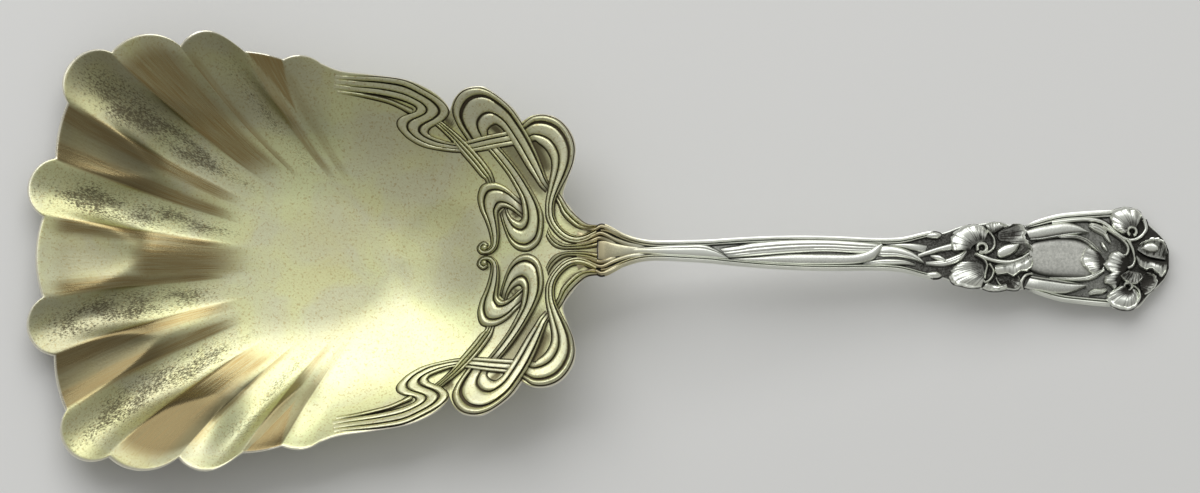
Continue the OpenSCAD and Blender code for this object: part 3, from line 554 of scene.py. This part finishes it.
# Half of the blank's width at places along it, from the seam
half_widths = smooth_rows([
    (-1, 5.2), (0, 5.2), (0.6, 5.2), (1.6, 4.9), (2.8, 4.25), (5, 3.05), (7.4, 2.3), (10, 1.9), (12.5, 1.85),
    (17, 2), (21.6, 2.2), (26.3, 2.6), (31, 2.95), (36, 3.2), (42, 3.35), (48, 3.3), (54.6, 3.1),
    (59.4, 3.25), (62, 3.7), (64, 4.25), (66.4, 4.75), (68.4, 4.6), (70.4, 5.3), (72.2, 6), (75, 6.45),
    (78.3, 6.95), (80.4, 6.9), (82, 6.55), (84, 6.7), (85.2, 6.4), (87.1, 7.3), (89.6, 8.05), (92.1, 8.7),
    (95.7, 9.15), (99.3, 9.5), (101.8, 9.6), (102.9, 10.1), (105.4, 10.5), (107.6, 9.9), (108.6, 9),
    (110.2, 7), (111.8, 5.5), (113.2, 3.8), (114, 1.9)], 6)
# Half of the blank's section, from the middle of its flat front round the edge to its back
half_section = [
    (0, 0), (0.35, 0), (0.7, 0), (0.93, 0), (0.985, -0.03), (1, -0.12), (0.99, -0.35), (0.93, -0.55),
    (0.8, -0.76), (0.6, -0.9), (0.3, -0.98), (0, -1)]


def half_width(x):
    return np.interp(x, *half_widths.T)


def handle_z(x, y=0.0):
    """Height of the blank's front, which bends down from the level neck and runs straight to its end."""
    x = max(0.0, x)
    return neck_z - handle_fall * (x * x / 2 / bend_length if x < bend_length else x - bend_length / 2)


def thickness(x):
    root = neck_thickness + (shank_thickness - neck_thickness) * ease(x / neck_run)
    return root + (end_thickness - root) * ease(x / handle_length)


def bar(stations, ground):
    """A bar along the handle through stations of place and swell; ground gives the dark of its front."""
    ring = half_section + [(-q, z) for q, z in half_section[-2:0:-1]]
    mesh = bmesh.new()
    bmesh.ops.create_grid(mesh, x_segments=len(stations) - 1, y_segments=len(ring), size=0.5)
    recess = mesh.verts.layers.float.new("recess")
    for vert in mesh.verts:
        x, swell = stations[round((vert.co.x + 0.5) * (len(stations) - 1))]
        q, z = ring[round((vert.co.y + 0.5) * len(ring)) % len(ring)]
        depth = thickness(x) * (z + (swell - 1) * (z + 0.5))
        vert.co = (x, q * half_width(x) * swell, handle_z(x) + depth)
        vert[recess] = ground(x) if z == 0 and abs(q) < 0.95 else 0
    bmesh.ops.remove_doubles(mesh, verts=mesh.verts[:], dist=1e-4)
    bmesh.ops.holes_fill(mesh, edges=[e for e in mesh.edges if e.is_boundary], sides=0)
    bmesh.ops.recalc_face_normals(mesh, faces=mesh.faces[:])
    return placed(mesh, handle_x)


def solder_metal():
    """Dull brown solder with a coarse, uneven skin."""
    material, value = blank_material("solder")
    lumps = value.noise(value.node("TexCoord", output=3), 800, 4)
    colour = lumps.between(0.35, 0.65).tint((0.22, 0.15, 0.06, 1), (0.09, 0.06, 0.03, 1))
    bare_metal(value, colour, 0.45 + 0.2 * lumps, lumps, 0.5, 0.0002)
    return material


seam_middle = (seam_start + seam_end) / 2
seam_bead = bar([(seam_start, 0.985), (seam_middle, 0.97), (seam_end, 0.985)], lambda x: 0)
piece("solder_bead", seam_bead, solder_metal(), "solder", "solder_seam")

# Handle blank
# A bar of silver, forged slim at the shank and spread flat at the terminal, with a flat front for the
# relief and a rounded back. Its front is left dark with oxide around the relief.
blank_stations = 240


def silver_metal():
    """Old polished silver, oxidised black in the crevices, with painted shade in the hollows, throats and
    creases of the relief; what stands proud is worn soft.
    """
    bright, grey = (0.92, 0.94, 0.86, 1), (0.82, 0.84, 0.77, 1)
    oxide_and_shade_black = (0.05, 0.048, 0.042, 1)
    neck_gold, seam_brown = (0.62, 0.58, 0.37, 1), (0.33, 0.27, 0.14, 1)
    material, value = blank_material("silver")
    place = value.node("TexCoord", output=3)
    along = value.node("SeparateXYZ", {"Vector": place})
    cloud = value.noise(place, 160, 4)
    grain = value.noise(place, 2600, 5, Roughness=0.7)
    # Black oxidation in the crevices together with painted shade from the relief's sections
    oxide_and_shade = (value.attribute("recess") + 0.5 * (grain - 0.5)).between(0.12, 0.8)
    plain = cloud.between(0.35, 0.65).tint(bright, grey)
    gilt_start = along.between(handle_x + 0.014, handle_x + 0.004)
    near_seam = along.between(handle_x + 0.0035, handle_x)
    warmed = (0.7 * near_seam).tint((0.85 * gilt_start).tint(plain, neck_gold), seam_brown)
    bare_metal(value, oxide_and_shade.tint(warmed, oxide_and_shade_black), 0.26 + 0.14 * grain + 0.3 * oxide_and_shade, grain, 0.1, 0.0001)
    return material


silver = silver_metal()
# How dark the front is at places along it
ground_dark = smooth_rows([
    (0, 0.1), (12, 0.2), (24, 0.5), (58, 0.6), (64, 0.75), (84, 0.75), (100, 0.65), (106, 0.8),
    (114, 0.85)], 4)
blank = bar([(handle_length * i / blank_stations, 1.0) for i in range(blank_stations + 1)],
            lambda x: np.interp(x, *ground_dark.T))
piece("handle_blank", blank, silver, "silver", "handle")

# Edge reeds
# Two thin silver reeds along each edge of the shank, from the collar to a bulb, and two more along
# each edge of the terminal. They frame the relief and stand a little proud of it.
reed_pair = reeded((0.0, 0.6, 1.0, 2), (0.66, 1.0, 0.8, 2), outside=0.0)
moulding_height, moulding_width, moulding_margin = 0.85, 0.95, 0.05
relief_sink = 0.3


def on_handle(name, rows, section, height, *nodes, side=1, steps=8, material=silver):
    """A piece of relief on the handle's front, in millimetres from the seam."""
    mesh = relief(rows, section, height, handle_z, side, steps, relief_sink)
    piece(name, placed(mesh, handle_x), material, "silver", *nodes)


def strand(points, width, fade=0):
    """Rows of a round strand along a middle line, which sinks away over that many rows at its ends."""
    path = smooth_rows(points, 2)
    way = np.gradient(path, axis=0)
    across = np.stack((-way[:, 1], way[:, 0]), axis=1) / np.linalg.norm(way, axis=1)[:, None] * width / 2
    last = len(path) - 1
    rises = [ease(min(i, last - i) / fade) if fade else 1.0 for i in range(last + 1)]
    return [(*(p + n), *(p - n), 0.02 + 0.98 * r, r) for p, n, r in zip(path, across, rises)]


# Reeds that run on from the ribbons over the seam and the collar
collar_width, collar_height, collar_fade = 0.85, 0.9, 5
collar_reeds = {
    "outer_collar_reed": [
        (-4.2, 5.35), (-2.6, 4.45), (-1.4, 4.1), (-0.5, 4.4), (0.3, 4.75), (1.2, 4.45), (2.5, 3.75),
        (4.5, 2.75), (7, 1.95)],
    "inner_collar_reed": [
        (-4.6, 3.2), (-2.8, 2.6), (-1.7, 2.7), (-0.6, 3.2), (0.3, 3.35), (1.4, 2.95), (3, 2.15), (6, 1.2),
        (9, 0.95)],
    "low_collar_reed": [
        (-4.6, 1.3), (-2.8, 1.5), (-1.6, 1.85), (-0.6, 2.3), (0.2, 2.4), (1.4, 2.1), (3.2, 1.45)],
}
# The reeds of the shank start half as wide again at the collar
shank_start, shank_end = 0.15, 66.6
shank_stations = 66
collar_run = 6
shank_rows = []
for i in range(shank_stations + 1):
    x = shank_start + (shank_end - shank_start) * i / shank_stations
    outer = half_width(x) - moulding_margin
    width = moulding_width * (1 + 0.5 * (1 - ease(x / collar_run)))
    shank_rows.append((x, outer, x, outer - width))
bulb_rows = [
    (65.2, 4.35, 65.4, 3.5, 0.5), (66.4, 4.65, 66.4, 3.3), (67.6, 4.6, 67.4, 3.3), (68.4, 4.2, 68, 3.6, 0.5)]
terminal_rows = [
    (85.3, 6.3, 85.6, 5.9, 0.4), (88, 7.45, 88.2, 6.5), (92, 8.6, 92.2, 7.5), (96, 9.1, 96.1, 7.9),
    (100, 9.45, 100, 8.2), (103.2, 9.6, 103, 8.4, 0.6)]
for side_name, side in (("left", 1), ("right", -1)):
    for name, points in collar_reeds.items():
        rows = strand(points, collar_width, fade=collar_fade)
        on_handle(f"{side_name}_{name}", rows, single_wire, collar_height, side=side, steps=4)
    on_handle(f"{side_name}_shank_reeds", shank_rows, reed_pair, moulding_height,
              f"{side_name}_edge_moulding", side=side, steps=2)
    on_handle(f"{side_name}_shank_bulb", bulb_rows, single_wire, 1.2, side=side)
    on_handle(f"{side_name}_end_reeds", terminal_rows, reed_pair, moulding_height,
              f"{side_name}_terminal_reed", side=side)

# Leaves of the shank
# Long overlapping blades of silver between the reeds. Each has a soft midrib, thin worn edges and a
# pointed tip that lies over the start of the next.
leaf_height = 0.95
leaf_samples = 16


def leafy(*creases, shade=0.0):
    """Section of a leaf, with painted shade over its body clear of the edges, and a dark painted crease at
    each of those shares.
    """
    rows = [outline]
    for j in range(leaf_samples + 1):
        share = j / leaf_samples
        dome = 0.4 + 0.6 * (1 - abs(2 * share - 1) ** 2.5) ** 0.6
        crease = sum(math.exp(-((share - c) / 0.05) ** 2) for c in creases)
        inside = ease(min(share, 1 - share) / 0.12)
        rows.append((share, dome - 0.2 * crease, 0.55 * crease + shade * inside))
    rows.append(outline)
    return lambda along: rows


def carve(pieces, steps=8):
    """Puts a table of relief on the handle: the node each piece stands for, section, height and rows."""
    for name, (node, section, height, rows) in pieces.items():
        on_handle(name, rows, section, height, *([node] if node else []), steps=steps)


leaves = {
    "neck_lozenge": ("", leafy(shade=0.25), 0.2, [
        (-0.3, 1.5, -0.3, -1.5, 0.02, 0), (0.5, 1.9, 0.5, -1.9, 0.6, 0.2), (1.3, 1.85, 1.3, -1.85),
        (3, 1.2, 3, -1.2), (7.4, 0.6, 7.4, -0.6), (12.6, 0.4, 12.6, -0.4, 0.1, 0)]),
    "neck_leaf_blade": ("neck_leaf", leafy(0.3), leaf_height, [
        (4, 0.3, 4, -0.3, 0.02, 0), (9, 0.6, 9, -0.6, 0.4, 0.2), (12.8, 0.95, 12.8, -0.9, 0.75, 0.4),
        (16.9, 1.2, 16.9, -1.05), (20.7, 1.3, 20.9, -1.25), (23.5, 0.2, 23.6, -1.4),
        (25.6, -1.35, 25.6, -1.5, 0.8)]),
    "long_leaf_blade": ("long_leaf", leafy(0.45, 0.72), leaf_height, [
        (24, 0.6, 25.6, -1.2, 0.5), (27.5, 1.2, 28, -1), (31, 1.9, 31, -0.7), (38.1, 2.6, 38.1, 0),
        (45.2, 2.75, 45.2, 0.4), (52.3, 2.45, 52.3, 0.25), (56.5, 1.95, 56.2, 0.9, 0.7)]),
    "curled_leaf_blade": ("curled_leaf", leafy(shade=0.2), 1.05, [
        (26.3, -1.45, 26.3, -1.6, 0.4), (31, -1.1, 31, -2), (38.1, -0.35, 38.1, -2.3),
        (45.2, -0.2, 45.2, -2.25), (50.8, -0.1, 51.4, -1.95), (53.7, 0.75, 54.6, -0.95),
        (55.3, 1.75, 56, 0.7), (56.2, 2.1, 56.5, 1.8)]),
    "low_leaf_blade": ("", leafy(0.5), 0.75, [
        (52.6, -1.6, 52.6, -2.2, 0.3), (57, -0.95, 57, -2.1), (60.8, -1.1, 60.8, -2),
        (63, -1.8, 63, -2.2, 0.4)]),
    "bud_leaf_blade": ("bud_leaf", leafy(0.7), leaf_height, [
        (55.4, 1.6, 55.2, -0.2, 0.2), (57, 1.75, 56.8, -0.4, 0.9), (59.4, 1.55, 59.4, -0.4),
        (62.2, 0.65, 62.2, -0.85), (64, -0.6, 64, -1.45), (64.8, -1.65, 64.8, -1.75)]),
    "upper_leaf_blade": ("", leafy(), 0.7, [
        (57.2, 2, 57.2, 1.85, 0.3), (60.5, 2.25, 60.5, 1.5), (63, 2.3, 63, 0.9), (65.4, 1.9, 65, 0.6, 0.5)]),
    "iris_stem_blade": ("iris_stem", leafy(), leaf_height, [
        (63.6, 0.2, 63.6, -0.6, 0.6), (67.1, 1.5, 67.2, 0.55), (70.2, 2.45, 70.4, 1.2, 0.8)]),
    "stem_leaf_tip": ("", leafy(), 1.0, [
        (66, 0, 66.2, -0.5, 0.4), (68, -0.05, 68, -1.05), (69.6, -1.35, 69.5, -1.5)]),
    "lower_stem_blade": ("", leafy(0.4), 0.9, [
        (65.2, -1.35, 65.2, -2, 0.4), (68.9, -0.8, 68.9, -2.2), (71.8, 0.4, 72.1, -1.1),
        (73.2, 1.3, 73.4, 0.6, 0.8)]),
}
carve(leaves)

# Lower iris
# Petals of chased silver before the cartouche: two streaked falls with rolled throats, standards with
# frilled edges, a bud and the sepal that carries it.
petal_height = 1.5
petal_samples = 18
petal_steps = 20
curl_steps = 12


def petal(streaks, frills, heights, depth=0.4):
    """Section of a petal with chased streaks and a frilled edge, its heights at throat, belly and lip.

    The depth is that of the shade inside it."""
    throat, belly, lip = heights

    def section(along):
        uneven = 0.3 * math.sin(19 * along) + 0.2 * math.sin(43 * along)
        frill = math.sin(2 * math.pi * frills * along + 3 * uneven)
        rows = [outline]
        for j in range(petal_samples + 1):
            share = j / petal_samples
            if share < 0.5:
                body = throat + (belly - throat) * math.sin(math.pi * share)
            else:
                body = lip + (belly - lip) * math.sin(math.pi * share)
            wave = 0.5 + 0.5 * math.cos(2 * math.pi * (1.2 * streaks * along + uneven + 0.5 * share))
            groove = wave ** 4 * ease(share / 0.3) * ease((1 - share) / 0.15)
            fold = 0.12 * math.sin(3 * math.pi * along + 2 * share) * ease(share / 0.5)
            turned_up = 0.16 * math.exp(-((share - 0.95) / 0.04) ** 2)
            raised = body + fold - 0.02 * groove + turned_up + 0.05 * frill * share ** 3
            # Painted shade: darker in the throat of a raised petal and where it lies low, lighter over the
            # belly and lip, dark in the chased streaks
            inside = depth * (1.7 - 1.3 * ease((share - 0.1) / 0.5) if belly > lip else 1.0)
            shade = inside * ease((0.93 - share) / 0.1) + 0.3 * groove + max(0.0, 0.6 - raised)
            rows.append((share * (1 + 0.035 * frill * share ** 2), max(0.1, raised), min(0.85, shade)))
        return rows + [outline]
    return section


def curl(middle, inner, outer, start, end):
    """Rows of a rolled edge that goes round a hole from one angle to another."""
    rows = []
    for i in range(curl_steps + 1):
        turn = math.radians(start + (end - start) * i / curl_steps)
        aim = np.array((math.cos(turn), math.sin(turn)))
        rows.append((*(middle + aim * inner), *(middle + aim * outer)))
    return rows


lower_iris = {
    "left_fall_petal": ("left_fall", petal(9, 6, (0.75, 1.05, 0.55)), petal_height, [
        (74.1, 1.2, 70.7, 0.9), (74.3, 1.65, 70.15, 2.7), (74.6, 2, 70.7, 4.35), (75.2, 2.35, 72.3, 5.6),
        (75.7, 2.65, 74.35, 6.25), (76.2, 2.8, 76.3, 6.05), (76.8, 2.9, 77.7, 5)]),
    "left_fall_roll": ("", single_wire, 1.75, curl((76.4, 1.6), 0.5, 1.35, 215, -120)),
    "left_fall_rim": ("", single_wire, 1.35, strand(
        [(77.5, 5.3), (78.7, 3.8), (78.9, 2.2), (78.1, 1), (76.9, 0.5)], 0.65)),
    "top_petal": ("", petal(3, 2, (0.5, 0.85, 0.7)), petal_height, [
        (77.9, 5.1, 77.1, 6.3), (78.6, 4.6, 78.4, 6.75), (79.3, 4.9, 79.4, 6.8), (80, 5.3, 80.4, 6.7),
        (81.2, 5.7, 81.6, 6.1)]),
    "left_standard_petal": ("left_standard", petal(5, 4, (0.4, 0.5, 0.95), 0.55), petal_height, [
        (80.2, 5.15, 82.7, 6.45), (79.8, 4.8, 84.6, 6.4), (79.65, 4.25, 85.3, 4.9), (79.6, 3.7, 85.1, 3.7),
        (80.2, 3.1, 85.9, 2.6), (81.8, 2.95, 86.4, 1.9), (84.2, 2.2, 86.6, 1.2)]),
    "lower_bud_leaf": ("lower_bud", leafy(), 1.55, [
        (79.3, 0.45, 79.35, 0.2, 0.6), (79.6, 1.35, 80.1, -0.35), (80.8, 2.25, 81.7, 0.1),
        (82.4, 2.6, 83, 0.95), (83.7, 2.6, 83.9, 2.2, 0.8)]),
    "bud_cup": ("", leafy(shade=0.75), 1.0, [
        (82.9, 0.5, 83.2, 0.2, 0.5), (83.9, 1.6, 84.9, 0.5), (84.2, 2.4, 85.8, 1.4), (84.4, 2.9, 86, 2.6),
        (84.2, 3.2, 85.2, 3.3, 0.5)]),
    "long_sepal_band": ("long_sepal", single_wire, 1.35, [
        (75.3, 0.8, 75.1, 0.2, 0.7), (77.2, 0.1, 76.8, -0.75), (79.5, -0.55, 79.3, -1.5),
        (82.1, -0.65, 82.2, -1.6), (84.3, 0.05, 84.6, -0.7), (85.7, 0.95, 86.1, 0.45, 0.7)]),
    "right_standard_petal": ("right_standard", petal(1, 3, (0.6, 1.05, 0.7), 0.3), petal_height, [
        (79.1, -1.9, 79, -3.2), (79.9, -1.75, 79.7, -3.85), (81.4, -1.6, 81.4, -3.6),
        (82.6, -1.3, 82.8, -4.05), (83.7, -0.9, 83.9, -3.25), (84.8, -0.4, 85.4, -2.9),
        (85.8, 0.1, 86.4, -2.1), (86.5, 0.1, 86.7, -1)]),
    "right_fall_petal": ("right_fall", petal(10, 5, (0.7, 1.05, 0.6)), petal_height, [
        (75.3, -1.4, 72.3, -1.4), (75.8, -1.6, 71.1, -2), (76.2, -1.8, 70.3, -3.1), (76.5, -2.1, 70, -4.35),
        (76.7, -2.6, 70.6, -5.6), (76.8, -3.2, 72.2, -6.1), (76.85, -3.7, 74.3, -6.45),
        (77, -4.3, 76.2, -6.3)]),
    "right_fall_stem": ("", single_wire, 1.5, strand(
        [(75, 0.3), (76.7, -0.7), (77.4, -1.9), (77.1, -3.3), (76.9, -4.6)], 0.6)),
    "right_fall_curl": ("", single_wire, 1.4, strand(
        [(77.9, -1.6), (78.7, -2.9), (78.3, -4.4), (77.2, -5.3), (76.6, -4.9)], 0.6)),
    "right_low_leaf": ("right_low_petal", petal(2, 2, (0.5, 1.0, 0.6), 0.2), 1.3, [
        (77.6, -5.3, 76.6, -6.5), (78.6, -5.7, 78, -6.95), (80, -5.8, 79.8, -6.95),
        (81.2, -5.5, 81.5, -6.55)]),
    "dark_petal": ("", petal(3, 3, (0.45, 0.4, 0.9), 0.6), 1.2, [
        (80.6, -4.6, 79.2, -4.5), (80.9, -4.9, 79.8, -5.6), (81.4, -5.1, 81.2, -6.5), (82, -5.1, 83.4, -6.7),
        (82.3, -4.8, 84.2, -5.5), (82.4, -4.5, 83.8, -4)]),
    "blade_fold": ("", single_wire, 1.4, [
        (84.8, -6.5, 84, -6.2, 0.7), (84.7, -5.3, 83.9, -5.1), (85.4, -4.1, 84.8, -3.6),
        (86.6, -3.6, 86.4, -3.1, 0.8)]),
}
carve(lower_iris, petal_steps)

# Cartouche
# A plain raised plate between the two irises, with a satin ground left dull from the punch. A leaf
# blade lies along each side of it, and a strap runs over its far corner.
cartouche_height = 0.6
plate_samples = 10


def satin_silver():
    """Silver matted with fine punches: grey, soft and evenly mottled, darkened by the painted shade of the
    plate's section.
    """
    material, value = blank_material("satin_silver")
    punches = value.noise(value.node("TexCoord", output=3), 1800, 4, Roughness=0.7)
    mottle = punches.between(0.35, 0.65).tint((0.65, 0.65, 0.60, 1), (0.44, 0.445, 0.41, 1))
    colour = value.attribute("recess").between(0.2, 0.8).tint(mottle, (0.05, 0.05, 0.045, 1))
    bare_metal(value, colour, 0.45 + 0.15 * punches, punches, 0.35, 0.0001)
    return material


def plate(along):
    """Section of the cartouche: nearly flat, with a rounded edge, painted shade along the edge and a lighter
    middle.
    """
    rows = [outline]
    for j in range(plate_samples + 1):
        share = j / plate_samples
        rim = min(share, 1 - share) / 0.12
        crown = math.sin(math.pi * share)
        shade = 0.2 + 0.5 * (1 - ease(rim)) + 0.12 * (1 - crown)
        rows.append((share, 0.55 + 0.35 * ease(rim) + 0.1 * crown, shade))
    return rows + [outline]


on_handle("cartouche_plate", [
    (85.8, 1.6, 85.8, -2.2, 0.5), (86.6, 2.7, 86.6, -2.9), (89, 3.4, 89, -3.6), (92, 3.75, 92, -3.9),
    (95, 3.75, 95, -4), (97.4, 3, 97.4, -4), (98.4, 2.4, 98.4, -3.6, 0.6)],
    plate, cartouche_height, "cartouche", material=satin_silver())
blades = {
    "left_blade_leaf": ("left_blade", leafy(0.85, shade=0.32), 1.25, [
        (85.3, 5.3, 86.2, 3.4, 0.7), (87.2, 5.95, 88.2, 3.5), (90, 6.6, 91, 4), (93, 7.05, 93.8, 4.5),
        (95.6, 6.6, 95.9, 4.85), (97.2, 5.65, 97.3, 5.05), (97.9, 5.15, 97.9, 5)]),
    "right_blade_leaf": ("right_blade", leafy(0.2, shade=0.32), 1.25, [
        (86.4, -3.75, 85, -6.2, 0.7), (88.4, -4.1, 87.2, -6.7), (91, -4.4, 90.4, -7.2),
        (93.6, -4.85, 93.4, -7.2), (95.6, -5.2, 95.6, -6.55), (97.4, -5.5, 97.4, -5.7)]),
    "strap_leaf_band": ("strap_leaf", leafy(0.5, shade=0.3), 1.15, [
        (91.6, 4.2, 92.4, 3.8, 0.5), (94.3, 4.65, 95.2, 3.85), (96.8, 4.25, 97.2, 3.1),
        (98.8, 3.05, 98.9, 1.75), (100.6, 1, 100.4, 0.5, 0.8)]),
    "lower_strap_band": ("", leafy(0.5), 0.95, [
        (90, -4, 90, -4.3, 0.5), (95.7, -3.95, 95.7, -4.75), (98.3, -3.3, 98.6, -4.3),
        (100.8, -1.6, 101, -2.8)]),
}
carve(blades)

# Terminal iris
# The flower at the end of the handle, chased deeper than the lower one: two falls at the corners, a
# frilled petal in the middle, curling stems, and standards that form the end of the spoon.
terminal_iris = {
    "stem_bud": ("terminal_bud", leafy(0.35, 0.65), 1.2, [
        (97.8, 6.9, 97.9, 6.2, 0.4), (98.6, 7.1, 98.8, 5.55), (100.3, 6.65, 100, 4.95),
        (101.6, 5.6, 101.1, 4.4, 0.8)]),
    "stem_bud_tip": ("", leafy(), 1.35, [
        (101.7, 5, 100.9, 4.4), (102.1, 3.9, 101.4, 3.7), (102.4, 3, 102.3, 2.9)]),
    "stem_small_leaf": ("", leafy(), 1.2, [
        (100.3, 3.2, 100.9, 3.1, 0.5), (100.6, 2.3, 101.5, 2.2), (101.3, 1.4, 101.7, 1.4)]),
    "upper_reed_stem": ("", single_wire, 1.05, strand(
        [(90.5, 7), (95, 7.6), (99, 7.7), (101.2, 7), (102.9, 5.6), (104.6, 4.3), (106.4, 3.75),
         (108.2, 4.4), (109.4, 6), (109, 7.9)], 0.85)),
    "inner_stem": ("", single_wire, 1.5, strand(
        [(100.7, 6.4), (102.9, 5), (104.9, 3.5), (105.8, 2), (105.4, 0.7), (104.3, 0.5)], 0.7)),
    "outer_stem": ("", single_wire, 1.35, strand(
        [(105.6, 4), (106.6, 2.2), (107.1, -0.1), (106.6, -1.5), (105.7, -1.9)], 0.75)),
    "front_petal_leaf": ("front_petal", petal(7, 3, (0.6, 0.95, 0.7), 0.5), 1.5, [
        (100.3, 0.6, 97.5, 1.95), (100.7, 0.05, 96.8, 1.05), (100.9, -0.5, 96.35, -0.2),
        (100.95, -1, 96.6, -1.45), (100.9, -1.55, 97.5, -2.35), (100.7, -2.1, 98.6, -3.2),
        (100.4, -2.45, 99.6, -2.9)]),
    "centre_petal_leaf": ("centre_petal", petal(8, 5, (0.55, 0.95, 0.8), 0.6), 1.75, [
        (105.7, 0.15, 104.3, 0.85), (105.9, -0.4, 103.4, 1.35), (105.9, -0.9, 102.3, 0.95),
        (105.8, -1.45, 101.7, -0.1), (105.65, -1.8, 100.9, -1.2), (105.4, -2.35, 101.6, -2.45),
        (105.1, -2.9, 102.4, -3.15), (104.8, -3.45, 101.1, -4.05), (104.5, -4.15, 101.15, -5.1),
        (104.1, -4.9, 102.1, -5.45), (103.65, -5.8, 102.85, -6.3)]),
    "terminal_left_petal": ("terminal_left_fall", petal(12, 7, (0.7, 1.05, 0.6)), 1.7, [
        (105.7, 5.35, 104.8, 4.95), (105.9, 5.6, 103.4, 5.65), (106.1, 5.75, 102.5, 7.05),
        (106.25, 5.95, 102.3, 8.6), (106.4, 6.05, 103.1, 9.75), (106.65, 6.15, 105.3, 10.3),
        (106.85, 6.2, 107.4, 9.95), (107.1, 6.2, 108.5, 9.05), (107.3, 6.1, 108.2, 7.7)]),
    "terminal_left_roll": ("", single_wire, 1.9, curl((106.6, 5.45), 0.45, 1.2, 240, -70)),
    "terminal_right_petal": ("terminal_right_fall", petal(12, 7, (0.7, 1.05, 0.6), 0.5), 1.7, [
        (105.5, -5.9, 104.1, -5.75), (105.5, -6.1, 102.7, -6.5), (105.55, -6.25, 101.6, -7.6),
        (105.65, -6.45, 101.5, -8.6), (105.75, -6.6, 102.6, -9.6), (105.9, -6.65, 104.6, -10.3),
        (106, -6.65, 106.5, -10.15), (106.2, -6.6, 107.6, -9.1), (106.3, -6.45, 107.9, -7.5),
        (106.3, -6.25, 107.4, -6.45)]),
    "terminal_right_roll": ("", single_wire, 1.9, curl((105.7, -5.8), 0.4, 1.15, 200, -80)),
    "terminal_right_rim": ("", single_wire, 1.4, strand(
        [(106.6, -5.5), (107.8, -6.3), (108.1, -7.7), (107.5, -8.9)], 0.6)),
    "end_standard_petal": ("end_standard", petal(2, 3, (0.6, 0.5, 0.95), 0.6), 1.7, [
        (107.7, 1.7, 108, 2.65), (108.75, 1, 109.1, 3.5), (109.8, 0.5, 110.7, 4.1),
        (111.1, 0.2, 112.3, 3.95), (112.3, 0, 113.2, 2.9), (113.2, -0.15, 113.7, 1.2)]),
    "end_bud": ("", leafy(), 1.7, [
        (108.2, 2.2, 108.3, 1.8, 0.5), (109.2, 3, 109.4, 1.4), (110.5, 3.4, 110.8, 1.2),
        (111.6, 2.9, 111.7, 1.5), (112.1, 2.4, 112.1, 2.1, 0.6)]),
    "end_low_leaf": ("end_low_petal", petal(4, 4, (0.6, 0.95, 0.75), 0.55), 1.6, [
        (107.3, 1.05, 107.7, -0.7), (108.4, 0.4, 108.2, -1.75), (109.65, -0.1, 109.5, -2.3),
        (110.7, -0.3, 110.5, -2.05), (111.8, -0.45, 111.6, -2.95), (112.85, -0.55, 112.5, -3.5),
        (113.6, -0.6, 113.4, -2.6)]),
    "end_dark_petal": ("", petal(4, 5, (0.5, 0.4, 0.85), 0.65), 1.2, [
        (108, -3.7, 109.5, -2.9), (108.2, -4.05, 110.9, -3.15), (108.2, -4.6, 111.6, -4.35),
        (108.2, -5.1, 111.2, -5.6), (108.3, -5.65, 110.2, -6.6), (108.4, -6.2, 109.1, -7.2)]),
    "gap_petal": ("", petal(4, 2, (0.5, 0.7, 0.9), 0.65), 1.3, [
        (105.9, -2.4, 104.2, -3.6), (106.5, -2.6, 105.2, -4.6), (107.2, -2.7, 106.6, -5.2),
        (107.8, -2.8, 108, -4.8), (108.3, -2.9, 108.8, -3.8)]),
    "lower_stem_bud": ("", leafy(0.35, 0.65), 1.1, [
        (97.7, -7, 98, -7.6, 0.6), (98.9, -6.25, 99.3, -7.4), (100.2, -6.3, 100.7, -7.2),
        (101.1, -6, 101.6, -6.6, 0.7)]),
}
carve(terminal_iris, petal_steps)

# Floor, light and camera
# A plain pale table, one wide soft lamp high on the left of the spoon, and a sky that darkens to the
# right and to the horizon. The camera looks down from a little to the right.
floor_mesh = bmesh.new()
bmesh.ops.create_grid(floor_mesh, x_segments=1, y_segments=1, size=1.5)
floor_data = bpy.data.meshes.new("floor")
floor_mesh.to_mesh(floor_data)
floor_mesh.free()
floor = in_scene("floor", floor_data)
floor_material, floor_value = blank_material("pale_table")
floor_shader = floor_value.node("BsdfPrincipled", {
    "Base Color": (0.74, 0.74, 0.73, 1), "Roughness": 0.8})
floor_value.node("OutputMaterial", {"Surface": floor_shader})
floor_data.materials.append(floor_material)

world = bpy.data.worlds.new("studio")
bpy.context.scene.world = world
world.use_nodes = True
world.node_tree.nodes.clear()
sky_value = Value(world.node_tree)
sky_way = sky_value.node("TexCoord")
sky_side = sky_value.node("SeparateXYZ", {"Vector": sky_way}, output=1)
sky_up = sky_value.node("SeparateXYZ", {"Vector": sky_way}, output=2)
sky_level = sky_side.between(-0.9, 0.5) * sky_up.between(0.35, 0.9)
sky_colour = sky_level.tint((0.37, 0.365, 0.35, 1), (0.57, 0.58, 0.58, 1))
sky = sky_value.node("Background", {"Color": sky_colour, "Strength": 1.0})
sky_value.node("OutputWorld", {"Surface": sky})

lamp_data = bpy.data.lights.new("window", "AREA")
lamp_data.shape = "RECTANGLE"
lamp_data.size, lamp_data.size_y = 1.6, 1.0
lamp_data.energy = 11
lamp = in_scene("window", lamp_data)
lamp.location = (-0.25, 0.85, 0.9)
lamp.rotation_euler = (-lamp.location).to_track_quat("-Z", "Y").to_euler()

camera_data = bpy.data.cameras.new("camera")
camera = in_scene("camera", camera_data)
bpy.context.scene.camera = camera
frame_width = 0.240
sight = Vector((0.0003, 0.00175, 0.008))
tilt = math.radians(8.5)
camera_data.sensor_width = 36
camera_data.lens = 400
camera_range = frame_width * camera_data.lens / camera_data.sensor_width
camera.rotation_euler = (tilt, 0, 0)
camera.location = sight + camera_range * Vector((0, -math.sin(tilt), math.cos(tilt)))
